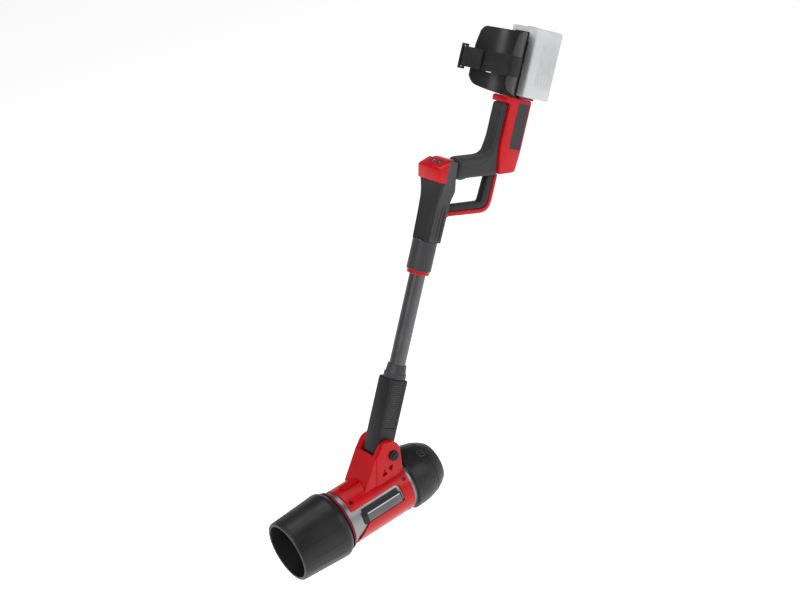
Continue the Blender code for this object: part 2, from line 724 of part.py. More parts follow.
def motor_lead():
    """The supply lead that runs up inside the tube."""
    lead = tube_at(
        "lead", 0, 4.0, TUBE_BOTTOM + 2, TUBE_TOP - 4, 12, TUBE_N - (TUBE_R - TUBE_WALL - 4.0 - 0.4),
    )
    keep(lead, "motor_lead", (BLACK, 0.6), STICK)


# --- Head of the handle ------------------------------------------------------------------------------

HEAD_FRONT = TUBE_N - 17.5
HEAD_BACK = BAR_FRONT - GAP
CAVITY = ((-28.0, 10.0), (-19.0, 19.0), (533.0, 562.0))
REAR_LOW = 12.0


def head_shells():
    half, top_half = HEAD_W / 2, HEAD_TOP_W / 2
    rows = [
        (HEAD_BOTTOM, HEAD_FRONT, half, 6), (470, HEAD_FRONT - 1, half + 1, 6),
        (500, HEAD_FRONT - 2.2, half + 2, 6),
        (515, HEAD_FRONT - 4, half + 5, 7), (CAP_BOTTOM - GAP, HEAD_FRONT - 6.5, top_half - 0.5, 8),
    ]
    front = loft("front", [section(f, SPLIT_N - GAP, h, t, c) for t, f, h, c in rows])
    front = keep(front, "front_shell", (BLACK, 0.5), STICK)
    back_rows = [
        (HEAD_BOTTOM, REAR_LOW, half, half - 1, 4), (470, REAR_LOW + 0.5, half + 1, half - 0.5, 4),
        (497, REAR_LOW + 0.5, half + 2, half + 0.5, 4), (518, HEAD_BACK + 3, half + 6, half + 3, 6),
        (CAP_BOTTOM, HEAD_BACK + 1.5, top_half - 0.5, half + 3, 7),
        (541, HEAD_BACK, top_half - 0.5, half + 3, 8),
        (572, HEAD_BACK - 1, top_half - 1, half + 1, 8),
    ]
    rear = loft("rear", [wedge_section(SPLIT_N, b, hf, hb, t, c) for t, b, hf, hb, c in back_rows])
    rear = keep(rear, "rear_shell", (DARK_GREY, 0.5), STICK)
    for shell in (front, rear):
        cut(shell, tube_at("bore", 0, TUBE_R + SLIP, HEAD_BOTTOM - 5, 534, 40, TUBE_N), STICK)
        cut(shell, box("hollow", *CAVITY), STICK)
    wide = TONGUE_HALF + GAP
    cut(
        rear, box("tongue_slot", (SPLIT_N - 15, CAP_BACK + GAP), (-wide, wide), (CAP_BOTTOM - GAP, 600)),
        STICK,
    )
    for along in (432, 446, 460):
        for side in (-1, 1):
            wall = sorted((side * (half - 2.5), side * (half + 4)))
            cut(rear, box("groove", (2.0, 6.5), wall, (along, along + 8)), STICK)


def control_cap():
    """The faceted cap: a wedge whose top slopes forward, hollow below."""
    half = HEAD_TOP_W / 2
    front = HEAD_FRONT - 6.5
    outline = [
        (front, CAP_BOTTOM), (front - 6.5, 554), (front - 4, 558.5), (-15, 575), (CAP_BACK - GAP, 576.5),
        (CAP_BACK - GAP, CAP_BOTTOM),
    ]
    cap = keep(prism("cap", outline, -half, half), "control_cap", (RED, 0.3), STICK)
    bevelled(cap, 2.0, 2, 30)
    for side in (-1, 1):
        cheek = sorted((side * TONGUE_HALF, side * (half + 5)))
        cut(cap, box("cheek", (SPLIT_N - GAP, CAP_BACK + 5), cheek, (CAP_BOTTOM - 5, 600)), STICK)
    cut(cap, box("hollow", CAVITY[0], CAVITY[1], (CAP_BOTTOM - 5, 552)), STICK)
    for side in (-1, 1):
        spot = button_outline(0.0, 15.0)
        cut(cap, prism("button_hole", spot, *sorted((side * 3.0, side * 16.0))), STICK)


def button_outline(margin, length):
    """(back, along) outline of a button, square to the cap's sloping top."""
    slope = math.atan2(16.5, 23.5)
    mid = (HEAD_FRONT + 2.5, 566.5)
    along = Vector((math.cos(slope), math.sin(slope)))
    out = Vector((-math.sin(slope), math.cos(slope)))
    half = 6.0 - margin
    centre = Vector(mid)
    high, low = (4.0, -length - 8) if margin == 0 else (0.8, -length)
    return [centre + along * a + out * b for a, b in ((-half, low), (half, low), (half, high), (-half, high))]


def buttons():
    for side, name in ((1, "power_button"), (-1, "boost_button")):
        low, high = sorted((side * (3.0 + SLIP), side * (16.0 - SLIP)))
        key = prism("key", button_outline(SLIP, 15.0), low, high)
        keep(key, name, (DARK_GREY, 0.4), STICK)


def controller_board():
    board = box("board", (-20, 9), (CAVITY[1][0] + GAP, CAVITY[1][1] - GAP), (536, 537.6))
    board = keep(board, "controller_board", ((0.02, 0.12, 0.04), 0.5), STICK)
    cut(board, box("parts", (-4, 7), (-12, 12), (537, 546)), STICK, "UNION")


# --- Bar, arm and loop --------------------------------------------------------------------------------

UNDER = math.tan(BAR_RISE)


def bar_under(back):
    """Height of the bar's underside."""
    return BAR_LOW + (back - BAR_FRONT) * UNDER


def hand_grip():
    """The bar held by the hand, bending up into the pad on the arm's front."""
    rise = BAR_T / math.cos(BAR_RISE)
    back = ARM_FRONT + PAD_D
    heel = STRUT_OUT
    outline = rounded([
        (BAR_FRONT, bar_under(BAR_FRONT), 0), (heel, bar_under(heel), 0), (back + 5, 592, 20),
        (back, 620, 30),
        (back, PAD_TOP, 0), (ARM_FRONT, PAD_TOP, 0), (ARM_FRONT, bar_under(ARM_FRONT) + rise, 34),
        (BAR_FRONT, bar_under(BAR_FRONT) + rise, 0),
    ], 8)
    grip = keep(prism("grip", outline, -BAR_W / 2, BAR_W / 2), "hand_grip", ((0.03, 0.03, 0.032), 0.6), STICK)
    bevelled(grip, 5.0, 2, 50)
    mouth = BAR_FRONT + 1.5
    notch = [(mouth, 525), (54, 525), (54, 557), (50, 571), (34, 571), (34, 560), (mouth, 560)]
    cut(grip, prism("notch", notch, -8.6, 8.6), STICK)
    cut(grip, rod_across("pin_bore", 2.1, -12.5, 12.5, TRIGGER_PIN[0], TRIGGER_PIN[1], 16), STICK)


def trigger():
    back, along = TRIGGER_PIN
    outline = rounded([
        (back - 4.5, along - 3, 2), (back - 3, along - 12.5, 3), (back + 7, along - 13, 6),
        (back + 19, along - 8.5, 8),
        (back + 24, along + 1, 2), (back + 20, along + 2.5, 1), (back + 4, along + 4.5, 3),
        (back - 4.5, along + 4.5, 3),
    ], 4)
    lever = keep(prism("lever", outline, -8, 8), "trigger", ((0.05, 0.045, 0.045), 0.45), STICK)
    cut(lever, rod_across("pin_bore", 2.1, -12, 12, back, along, 16), STICK)
    keep(rod_across("pin", 1.8, -12, 12, back, along, 16), "trigger_pin", ((0.5, 0.5, 0.5), 0.25, 1.0), STICK)
    keep(
        box("switch", (36.5, 48.5), (-6, 6), (559.3, 570.6)), "trigger_switch", ((0.02, 0.02, 0.02), 0.5),
        STICK,
    )


def loop_guard():
    low = GUARD_LOW
    shelf = UNDER * 0.98
    far = 97.0
    wall = HEAD_SIDE + GAP
    outline = rounded([
        (wall, low, 0), (far, low + (far - wall) * shelf, 6), (far + 2.5, bar_under(far + 2.5) - GAP, 0),
        (STRUT_OUT, bar_under(STRUT_OUT) - GAP, 0), (STRUT_OUT, LOOP_CORNER, 22),
        (wall, low - GUARD_BAR_T, 0),
    ])
    guard = keep(prism("guard", outline, -LOOP_W / 2, LOOP_W / 2), "loop_guard", (BLACK, 0.5), STICK)
    bevelled(guard, 3.0, 2, 50)


HEAD_SIDE = REAR_LOW + 0.5
STRUT_OUT = ARM_FRONT + PAD_D + 12.5


def guard_strip():
    """The red outer strip, from the collar round the loop to the foot of the arm."""
    inner = [
        (REAR_LOW + GAP, HEAD_BOTTOM, 0), (HEAD_SIDE + GAP, 470, 0),
        (HEAD_SIDE + GAP, GUARD_LOW - GUARD_BAR_T - GAP, 0), (STRUT_OUT + GAP, LOOP_CORNER - GAP, 22 + GAP),
        (STRUT_OUT + GAP, BOX_BOTTOM - 3, 0),
    ]
    outer = [
        (STRUT_OUT + STRIP_T, BOX_BOTTOM - 3, 0), (STRUT_OUT + STRIP_T, LOOP_CORNER - STRIP_T - 0.5, 29),
        (HEAD_SIDE + 12, 468, 10), (HEAD_SIDE + 4.5, 462, 8), (REAR_LOW + 4, HEAD_BOTTOM, 0),
    ]
    strip = keep(
        prism("strip", rounded(inner + outer), -STRIP_W / 2, STRIP_W / 2), "guard_strip", (RED, 0.32), STICK,
    )
    bevelled(strip, 1.2, 2, 50)


def arm_housing():
    back = ARM_FRONT + PAD_D + GAP
    foot = STRUT_OUT + GAP
    outline = rounded([
        (foot, BOX_BOTTOM - 2.5, 0), (ARM_BACK - 3, BOX_BOTTOM + 7, 8), (ARM_BACK, BOX_BOTTOM + 48, 0),
        (ARM_BACK, LEDGE, 5),
        (ARM_FRONT + 0.5, LEDGE, 5), (ARM_FRONT + 0.5, PAD_TOP + GAP, 0), (back, PAD_TOP + GAP, 0),
        (back, 620, 30),
        (back + 5, 592, 20),
    ])
    arm = keep(prism("arm", outline, -ARM_W / 2, ARM_W / 2), "arm_housing", (RED, 0.32), STICK)
    bevelled(arm, 2.5, 2, 60)
    hollow = box(
        "hollow", (ARM_BACK - 33, ARM_BACK - 5), (-ARM_W / 2 + 4, ARM_W / 2 - 4), (BOX_BOTTOM + 20, LEDGE + 9),
    )
    cut(arm, hollow, STICK)
    for side in (-1, 1):
        wall = sorted((side * (ARM_W / 2 - 1.4), side * (ARM_W / 2 + 5)))
        cut(arm, box("label_bed", *label_spot(0, wall)), STICK)


def label_spot(margin, wall):
    edge = ARM_BACK - LABEL_EDGE
    back = (edge - LABEL_DEPTH + margin, edge - margin)
    return back, wall, (LEDGE - 8 - LABEL_LEN + margin, LEDGE - 8 - margin)


def label_panels():
    for side, name in ((1, "label_panel_left"), (-1, "label_panel_right")):
        wall = sorted((side * (ARM_W / 2 - 1.4 + GAP), side * (ARM_W / 2 + 0.2)))
        keep(box("panel", *label_spot(GAP, wall)), name, ((0.05, 0.05, 0.055), 0.45), STICK)


def arm_wiring():
    lead = tube_at("loom", 0, 3.0, BOX_BOTTOM + 21, LEDGE - 2, 12, ARM_BACK - 29)
    keep(lead, "arm_wiring", (BLACK, 0.6), STICK)


# --- Cuff, strap and battery ------------------------------------------------------------------------

CUFF_BACK = CUFF_N + CUFF_R
MOUNT_FRONT = CUFF_BACK + GAP
MOUNT_BACK = MOUNT_FRONT + MOUNT_T
SEAT_TOP = LEDGE + GAP + 4
SCREW_LOW = LEDGE + 22
SCREW_HIGH = STRAP_AT + STRAP_W / 2 + 25


def cuff():
    """A half-round shell open to the front, its wings' lower edges sweeping up from the arm."""
    columns = 33
    rows = 7
    bm = bmesh.new()
    grid = []
    inner = CUFF_R - CUFF_WALL
    for radius in (CUFF_R, inner):
        face = []
        for i in range(columns):
            s = 2 * i / (columns - 1) - 1
            angle = s * math.pi / 2
            edge = max(0.0, (abs(s) - 0.8) / 0.2)
            top = CUFF_TOP + 4 * (1 - s * s) - CUFF_CORNER * (1 - math.sqrt(max(0.0, 1 - edge * edge)))
            low = LEDGE + GAP + (CUFF_SIDE_LOW - LEDGE) * abs(s) ** 1.9 + 12 * edge * edge
            back = CUFF_N + radius * math.cos(angle)
            across, pitch = radius * math.sin(angle), (top - low) / (rows - 1)
            column = [(-back, across, low + pitch * j) for j in range(rows)]
            face.append([bm.verts.new(Vector(p) * MM) for p in column])
        grid.append(face)
    outer, inside = grid
    for i in range(columns - 1):
        for j in range(rows - 1):
            bm.faces.new((outer[i][j], outer[i + 1][j], outer[i + 1][j + 1], outer[i][j + 1]))
            bm.faces.new((inside[i][j + 1], inside[i + 1][j + 1], inside[i + 1][j], inside[i][j]))
        for j in (0, rows - 1):
            bm.faces.new((outer[i][j], outer[i + 1][j], inside[i + 1][j], inside[i][j]))
    for i in (0, columns - 1):
        for j in range(rows - 1):
            bm.faces.new((outer[i][j], outer[i][j + 1], inside[i][j + 1], inside[i][j]))
    shell = keep(mesh_object(bm, "cuff"), "arm_cuff", ((0.02, 0.02, 0.022), 0.4), STICK)
    for side in (-1, 1):
        back = CUFF_N + CUFF_R * math.cos(SLOT_AT)
        across = side * CUFF_R * math.sin(SLOT_AT)
        slot = box("slot", (-6.5, 3), (-9, 9), (STRAP_AT - STRAP_W / 2 - 1, STRAP_AT + STRAP_W / 2 + 1))
        slot.rotation_euler = (0, 0, side * (math.pi / 2 - SLOT_AT))
        slot.location = Vector((-back, across, 0)) * MM
        cut(shell, slot, STICK)
    for name, along in (("cuff_screw_lower", SCREW_LOW), ("cuff_screw_upper", SCREW_HIGH)):
        hole = turned("hole", [(0, 9), (2.6, 9), (2.6, -9), (0, -9)], 16, "X", (-CUFF_BACK + 2, 0, along))
        cut(shell, hole, STICK)
        bolt = [(0, 7.0), (4.4, 6.2), (4.8, 4.4), (2.2, 4.4), (2.2, 0.2), (0, 0.2)]
        screw = turned("screw", bolt, 16, "X", (-CUFF_BACK, 0, along))
        keep(screw, name, ((0.3, 0.3, 0.3), 0.3, 0.9), STICK)


def ribbon(name, path, thick, low, high):
    """A flat band standing along the stick and following a path of (back, across) points."""
    left, right = [], []
    for i, point in enumerate(path):
        before = Vector(path[max(i - 1, 0)])
        after = Vector(path[min(i + 1, len(path) - 1)])
        way = (after - before).normalized()
        side = Vector((-way.y, way.x)) * thick / 2
        left.append(Vector(point) + side)
        right.append(Vector(point) - side)
    return prism(name, left + right[::-1], low, high, "wall")


def on_cuff(radius, angle):
    return (CUFF_N + radius * math.cos(angle), radius * math.sin(angle))


def strap():
    """Webbing from the left slot round the wing, across the opening to the buckle and folded back."""
    low, high = STRAP_AT - STRAP_W / 2, STRAP_AT + STRAP_W / 2
    out = CUFF_R + STRAP_T / 2 + GAP
    path = [on_cuff(CUFF_R - CUFF_WALL - 3, SLOT_AT), on_cuff(CUFF_R - CUFF_WALL, SLOT_AT + 0.005)]
    path += [on_cuff(out - 1, SLOT_AT + 0.02), on_cuff(out, SLOT_AT + 0.09)]
    steps = 12
    start = SLOT_AT + 0.16
    path += [on_cuff(out, start + (math.pi / 2 - start) * k / steps) for k in range(steps + 1)]
    edge = CUFF_N - STRAP_T / 2 - GAP
    path += [(edge + 0.6, out - 0.5), (edge - 0.6, out - 2.6)]
    turn_n, turn_u = BUCKLE_N, -CUFF_R - 1
    path += [(edge + (turn_n - edge) * k / 6, (out - 5) + (turn_u - (out - 5)) * k / 6) for k in range(1, 7)]
    wrap = BUCKLE_WIRE * 0.71 + STRAP_T / 2 + 0.3
    way = Vector((turn_n - edge, turn_u - (out - 5))).normalized()
    side = Vector((way.y, -way.x)) * wrap
    if side.x > 0:
        side = -side
    centre = Vector((turn_n, turn_u)) + side
    for k in range(1, 8):
        a = math.pi * k / 8
        path.append(tuple(centre - side * math.cos(a) + way * wrap * math.sin(a)))
    back = centre + side
    path += [tuple(back - way * d) for d in (0.5, 12, 24, 36, 48)]
    band = keep(ribbon("strap", path, STRAP_T, low, high), "cuff_strap", ((0.012, 0.012, 0.013), 0.8), STICK)
    return band, centre, way


def buckle(centre, way):
    """A wire loop: the strap turns round its outer leg, the anchor band round its inner leg."""
    low, high = STRAP_AT - STRAP_W / 2 - 5, STRAP_AT + STRAP_W / 2 + 5
    reach = 11.0
    w = BUCKLE_WIRE / 2
    near = centre
    far = centre + way * reach
    ring = keep(
        frame_loop("loop", near, far, low, high, w), "cuff_buckle", ((0.015, 0.015, 0.016), 0.35), STICK,
    )
    return ring, far


def frame_loop(name, near, far, low, high, half):
    """A rectangular loop of square wire between two legs."""
    way = (far - near).normalized()
    side = Vector((-way.y, way.x)) * half
    a, b = near - way * half, far + way * half
    corners = [a + side, b + side, b - side, a - side]
    block = prism(name, corners, low, high, "wall")
    a, b = near + way * half, far - way * half
    hole = [a + side * 3, b + side * 3, b - side * 3, a - side * 3]
    cut(block, prism("hole", hole, low + 2 * half, high - 2 * half, "wall"), STICK)
    return block


def anchor_band(far):
    """The short band that holds the buckle to the right wing."""
    low, high = STRAP_AT - STRAP_W / 2, STRAP_AT + STRAP_W / 2
    out = CUFF_R + STRAP_T / 2 + GAP
    path = [on_cuff(CUFF_R - CUFF_WALL - 3, -SLOT_AT), on_cuff(CUFF_R - CUFF_WALL, -SLOT_AT - 0.005)]
    path += [on_cuff(out - 1, -SLOT_AT - 0.02), on_cuff(out, -SLOT_AT - 0.09)]
    steps = 10
    start = SLOT_AT + 0.16
    path += [on_cuff(out, -start - (math.pi / 2 - start) * k / steps) for k in range(steps + 1)]
    path += [(CUFF_N - 6, -out - 0.6)]
    goal = far + Vector((BUCKLE_WIRE / 2 + STRAP_T / 2 + 0.35, 0))
    path += [tuple(goal)]
    keep(ribbon("anchor", path, STRAP_T, low, high), "anchor_band", ((0.012, 0.012, 0.013), 0.8), STICK)


def battery_mount():
    """The plate behind the cuff with a T-shaped rail for the battery, and the seat below it."""
    wide = RAIL_HALF + 0.5
    neck, flange = MOUNT_BACK + 2.2, MOUNT_BACK + 5.2
    outline = [
        (MOUNT_FRONT, -wide), (MOUNT_BACK, -wide), (MOUNT_BACK, -RAIL_NECK), (neck, -RAIL_NECK),
        (neck, -RAIL_HALF),
        (flange, -RAIL_HALF), (flange, RAIL_HALF), (neck, RAIL_HALF), (neck, RAIL_NECK),
        (MOUNT_BACK, RAIL_NECK),
        (MOUNT_BACK, wide), (MOUNT_FRONT, wide),
    ]
    mount = prism("mount", outline, LEDGE + GAP, LEDGE + 108, "wall")
    mount = keep(mount, "battery_mount", (BLACK, 0.5), STICK)
    top = box("top", (MOUNT_FRONT, MOUNT_BACK), (-16, 16), (LEDGE + 100, LEDGE + 126))
    cut(mount, top, STICK, "UNION")
    for along in (SCREW_LOW, SCREW_HIGH):
        hole = turned("hole", [(0, 9), (2.5, 9), (2.5, -9), (0, -9)], 16, "X", (-CUFF_BACK, 0, along))
        cut(mount, hole, STICK)
    seat = [
        (MOUNT_BACK + 6, LEDGE + GAP), (ARM_BACK + 1, LEDGE + GAP), (ARM_BACK + 1, SEAT_TOP - 1),
        (ARM_BACK, SEAT_TOP),
        (MOUNT_BACK + 6, SEAT_TOP),
    ]
    keep(prism("seat", seat, -ARM_W / 2 - 1, ARM_W / 2 + 1), "battery_seat", (DARK_RED, 0.35), STICK)


def terminal_block():
    start = MOUNT_BACK + 5.2 + GAP
    block = box("terminals", (start, start + 5), (-10, 10), (LEDGE + 30, LEDGE + 78))
    block = keep(block, "terminal_block", (BLACK, 0.5), STICK)
    for k in (-1.5, -0.5, 0.5, 1.5):
        blade = box("blade", (start + 4, start + 9), (k * 5 - 0.6, k * 5 + 0.6), (LEDGE + 34, LEDGE + 74))
        cut(block, blade, STICK, "UNION")


BATTERY_LOW = SEAT_TOP + GAP
BATTERY_TOP = BATTERY_LOW + BATTERY_LEN
BATTERY_FRONT = MOUNT_BACK + 0.5
BATTERY_BACK = BATTERY_FRONT + BATTERY_D


def battery():
    half = BATTERY_W / 2
    front, back = BATTERY_FRONT, BATTERY_BACK
    outline = rounded([(front, -half, 5), (back, -half, 7), (back, half, 7), (front, half, 5)], 3)
    case = keep(prism("case", outline, BATTERY_LOW, BATTERY_TOP, "wall"), "battery_case", (GHOST, 0.3), STICK)
    bevelled(case, 3.5, 2, 60)
    neck, flange = MOUNT_BACK + 2.2 - SLIP, MOUNT_BACK + 5.2 + SLIP + 0.3
    slot_top = LEDGE + 112
    room = BATTERY_LOW - 9
    cut(
        case, box("neck", (front - 5, neck + 1), (-RAIL_NECK - SLIP, RAIL_NECK + SLIP), (room, slot_top)),
        STICK,
    )
    cut(case, box("flange", (neck, flange), (-RAIL_HALF - SLIP, RAIL_HALF + SLIP), (room, slot_top)), STICK)
    tower = MOUNT_BACK + 5.2 + 11
    cut(case, box("tower", (flange - 1, tower), (-12, 12), (room, LEDGE + 84)), STICK)
    inside = box(
        "inside", (tower - 0.5, back - BATTERY_WALL), (-half + BATTERY_WALL, half - BATTERY_WALL),
        (BATTERY_LOW + BATTERY_WALL + 3, BATTERY_TOP - BATTERY_WALL - 12),
    )
    cut(case, inside, STICK)
    cut(
        case, box("latch_hole", (front + 14, front + 30), (-11, 11), (BATTERY_TOP - 9, BATTERY_TOP + 9)),
        STICK,
    )
    key = box(
        "key", (front + 14 + SLIP, front + 30 - SLIP), (-11 + SLIP, 11 - SLIP),
        (BATTERY_TOP - 5, BATTERY_TOP + 1.5),
    )
    keep(bevelled(key, 0.8), "battery_release", (RED, 0.35), STICK)


def battery_cells():
    """Two rows of round cells in their holder, drawn as one scalloped block across the case."""
    start = MOUNT_BACK + 5.2 + 11 + 0.4
    low = BATTERY_LOW + BATTERY_WALL + 3 + GAP
    outline = []
    for k in range(CELLS):
        centre = low + CELL_R * (2 * k + 1)
        for j in range(7):
            a = math.radians(-75 + 25 * j)
            outline.append((start + 3 * CELL_R + CELL_R * math.cos(a), centre + CELL_R * math.sin(a)))
    for k in reversed(range(CELLS)):
        centre = low + CELL_R * (2 * k + 1)
        for j in range(7):
            a = math.radians(105 + 25 * j)
            outline.append((start + CELL_R + CELL_R * math.cos(a), centre + CELL_R * math.sin(a)))
    keep(
        prism("cells", outline, -CELL_LEN / 2, CELL_LEN / 2), "battery_cells", ((0.02, 0.08, 0.2), 0.4), STICK,
    )


def build():
    duct()
    nozzle()
    nozzle_seal()
    motor_shell()
    shell_screws()
    rating_plate()
    inlet()
    inlet_grille()
    fan()
    motor_pod()
    motor()
    tilt_bracket()
    tilt_pin()
    lower_grip()
    tube_and_collars()
    motor_lead()
    head_shells()
    control_cap()
    buttons()
    controller_board()
    hand_grip()
    trigger()
    loop_guard()
    guard_strip()
    arm_housing()
    label_panels()
    arm_wiring()
    cuff()
    _, centre, way = strap()
    _, far = buckle(centre, way)
    anchor_band(far)
    battery_mount()
    terminal_block()
    battery()
    battery_cells()


build()
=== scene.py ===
import json
import math

import bmesh
import bpy
from mathutils import Matrix, Vector
from mathutils.bvhtree import BVHTree


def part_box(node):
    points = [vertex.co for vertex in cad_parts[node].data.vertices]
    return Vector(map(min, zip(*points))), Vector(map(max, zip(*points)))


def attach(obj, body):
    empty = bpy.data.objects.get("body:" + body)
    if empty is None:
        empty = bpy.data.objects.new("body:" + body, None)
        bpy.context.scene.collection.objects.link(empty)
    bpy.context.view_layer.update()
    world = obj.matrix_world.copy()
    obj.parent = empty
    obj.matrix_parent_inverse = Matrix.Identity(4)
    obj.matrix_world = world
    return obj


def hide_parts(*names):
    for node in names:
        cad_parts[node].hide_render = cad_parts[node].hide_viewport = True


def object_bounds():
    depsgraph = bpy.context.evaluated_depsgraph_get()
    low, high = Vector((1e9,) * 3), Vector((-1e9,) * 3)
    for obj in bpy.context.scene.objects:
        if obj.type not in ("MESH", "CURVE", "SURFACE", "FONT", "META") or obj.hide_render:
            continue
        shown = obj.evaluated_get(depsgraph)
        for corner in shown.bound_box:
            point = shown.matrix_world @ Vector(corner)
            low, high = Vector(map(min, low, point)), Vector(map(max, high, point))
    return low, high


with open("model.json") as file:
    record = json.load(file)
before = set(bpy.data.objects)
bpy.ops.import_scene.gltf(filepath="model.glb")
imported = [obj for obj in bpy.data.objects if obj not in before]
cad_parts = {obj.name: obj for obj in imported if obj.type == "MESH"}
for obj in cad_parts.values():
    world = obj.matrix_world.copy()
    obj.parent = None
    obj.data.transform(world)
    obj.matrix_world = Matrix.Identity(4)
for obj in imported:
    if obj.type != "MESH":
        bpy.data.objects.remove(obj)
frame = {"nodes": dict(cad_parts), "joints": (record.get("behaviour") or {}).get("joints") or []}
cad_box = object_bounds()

MM = 0.001

# Air duct. The real one is a rolled aluminium sleeve that runs the barrel's length inside the red
# shell; it is satin with faint rolling lines round it, and clamped between the shell's halves.


def noise(tree, place, scale, detail=2.0, stretch=None):
    """A noise texture in the piece's own space, finer along the axes that stretch makes larger."""
    cloud = tree.nodes.new("ShaderNodeTexNoise")
    cloud.inputs["Scale"].default_value = scale
    cloud.inputs["Detail"].default_value = detail
    source = place.outputs["Object"]
    if stretch:
        pull = tree.nodes.new("ShaderNodeMapping")
        pull.inputs["Scale"].default_value = stretch
        tree.links.new(source, pull.inputs["Vector"])
        source = pull.outputs["Vector"]
    tree.links.new(source, cloud.inputs["Vector"])
    return cloud.outputs["Fac"]


def ranged(tree, value, low, high, start=0.3, end=0.7):
    """The value's middle range carried over to low..high."""
    spread = tree.nodes.new("ShaderNodeMapRange")
    for name, amount in (("From Min", start), ("From Max", end), ("To Min", low), ("To Max", high)):
        spread.inputs[name].default_value = amount
    tree.links.new(value, spread.inputs["Value"])
    return spread.outputs["Result"]


def tinted(tree, factor, first, second):
    mix = tree.nodes.new("ShaderNodeMix")
    mix.data_type = "RGBA"
    for socket, value in zip((mix.inputs[6], mix.inputs[7]), (first, second)):
        if isinstance(value, tuple):
            socket.default_value = (*value, 1.0)
        else:
            tree.links.new(value, socket)
    tree.links.new(factor, mix.inputs[0])
    return mix.outputs[2]


def edge_mask(tree, reach):
    """1 along convex and concave edges, fading to 0 on the open faces."""
    soft = tree.nodes.new("ShaderNodeBevel")
    soft.samples = 4
    soft.inputs["Radius"].default_value = reach
    flat = tree.nodes.new("ShaderNodeNewGeometry")
    dot = tree.nodes.new("ShaderNodeVectorMath")
    dot.operation = "DOT_PRODUCT"
    tree.links.new(soft.outputs["Normal"], dot.inputs[0])
    tree.links.new(flat.outputs["Normal"], dot.inputs[1])
    return ranged(tree, dot.outputs["Value"], 1.0, 0.0, 0.80, 0.995)


def surface(name, colour, rough, grain=1500.0, depth=0.08, spread=0.07, metal=0.0, coat=0.0, edge=0.0,
            stretch=None, tone=0.12, sheen=0.0, clear=0.0, ior=1.36):
    """A finish: mottled colour, uneven roughness, a fine grain, and edges painted a little paler, partly as
    wear and partly as painted highlight.
    """
    look = bpy.data.materials.new(name)
    look.use_nodes = True
    tree = look.node_tree
    shader = tree.nodes["Principled BSDF"]
    place = tree.nodes.new("ShaderNodeTexCoord")
    broad = noise(tree, place, 14.0, 3.0)
    fine = noise(tree, place, grain, 2.0, stretch)
    dark = tuple(c * (1 - tone) for c in colour)
    pale = tuple(min(1.0, c * (1 + tone) + 0.002) for c in colour)
    shade = tinted(tree, ranged(tree, broad, 0.0, 1.0), dark, pale)
    # Edges, convex and concave alike, are painted paler here: partly wear, partly painted highlight.
    if edge:
        edge_wear_and_highlight_tint = tuple(min(1.0, c * 1.6 + 0.035) for c in colour)
        edge_wear_and_highlight = tree.nodes.new("ShaderNodeMath")
        edge_wear_and_highlight.operation = "MULTIPLY"
        tree.links.new(edge_mask(tree, 0.0011), edge_wear_and_highlight.inputs[0])
        tree.links.new(ranged(tree, noise(tree, place, 160.0), 0.15 * edge, edge), edge_wear_and_highlight.inputs[1])
        shade = tinted(tree, edge_wear_and_highlight.outputs["Value"], shade, edge_wear_and_highlight_tint)
    tree.links.new(shade, shader.inputs["Base Color"])
    mixed = tree.nodes.new("ShaderNodeMath")
    mixed.operation = "ADD"
    tree.links.new(ranged(tree, broad, rough - spread, rough + spread), mixed.inputs[0])
    tree.links.new(ranged(tree, fine, -spread * 0.5, spread * 0.5), mixed.inputs[1])
    tree.links.new(mixed.outputs["Value"], shader.inputs["Roughness"])
    bump = tree.nodes.new("ShaderNodeBump")
    bump.inputs["Strength"].default_value = depth
    bump.inputs["Distance"].default_value = 0.0002
    tree.links.new(fine, bump.inputs["Height"])
    tree.links.new(bump.outputs["Normal"], shader.inputs["Normal"])
    shader.inputs["Metallic"].default_value = metal
    shader.inputs["Coat Weight"].default_value = coat
    shader.inputs["Coat Roughness"].default_value = 0.18
    shader.inputs["Sheen Weight"].default_value = sheen
    shader.inputs["Transmission Weight"].default_value = clear
    shader.inputs["IOR"].default_value = ior
    return look


def smoothing(limit):
    """A modifier tree that joins the faces' shared points and shades edges below the limit smooth."""
    tree = bpy.data.node_groups.new(f"smooth_under_{limit}", "GeometryNodeTree")
    for way in ("INPUT", "OUTPUT"):
        tree.interface.new_socket("Geometry", in_out=way, socket_type="NodeSocketGeometry")
    start, end = tree.nodes.new("NodeGroupInput"), tree.nodes.new("NodeGroupOutput")
    join = tree.nodes.new("GeometryNodeMergeByDistance")
    join.inputs["Distance"].default_value = 0.00001
    angle = tree.nodes.new("GeometryNodeInputMeshEdgeAngle")
    keen = tree.nodes.new("FunctionNodeCompare")
    keen.data_type = "FLOAT"
    keen.operation = "GREATER_THAN"
    keen.inputs[1].default_value = math.radians(limit)
    faces = tree.nodes.new("GeometryNodeSetShadeSmooth")
    faces.domain = "FACE"
    faces.inputs["Shade Smooth"].default_value = True
    edges = tree.nodes.new("GeometryNodeSetShadeSmooth")
    edges.domain = "EDGE"
    edges.inputs["Shade Smooth"].default_value = False
    links = tree.links
    links.new(start.outputs[0], join.inputs["Geometry"])
    links.new(join.outputs["Geometry"], faces.inputs["Geometry"])
    links.new(faces.outputs["Geometry"], edges.inputs["Geometry"])
    links.new(angle.outputs["Unsigned Angle"], keen.inputs[0])
    links.new(keen.outputs["Result"], edges.inputs["Selection"])
    links.new(edges.outputs["Geometry"], end.inputs[0])
    return tree


SMOOTH = {limit: smoothing(limit) for limit in (30, 50)}


def dress(look, *nodes, limit=30):
    """Gives the built nodes their finish and clean shading."""
    for node in nodes:
        piece = frame["nodes"][node]
        piece.data.materials.clear()
        piece.data.materials.append(look)
        normals = piece.data.attributes.get("custom_normal")
        if normals:
            piece.data.attributes.remove(normals)
        shade = piece.modifiers.new("shade", "NODES")
        shade.node_group = SMOOTH[limit]


satin_metal = surface("duct_satin_metal", (0.27, 0.275, 0.28), 0.36, 900, 0.10, 0.06, metal=1.0,
                      stretch=(6.0, 0.4, 0.4), tone=0.06)
dress(satin_metal, "air_duct")

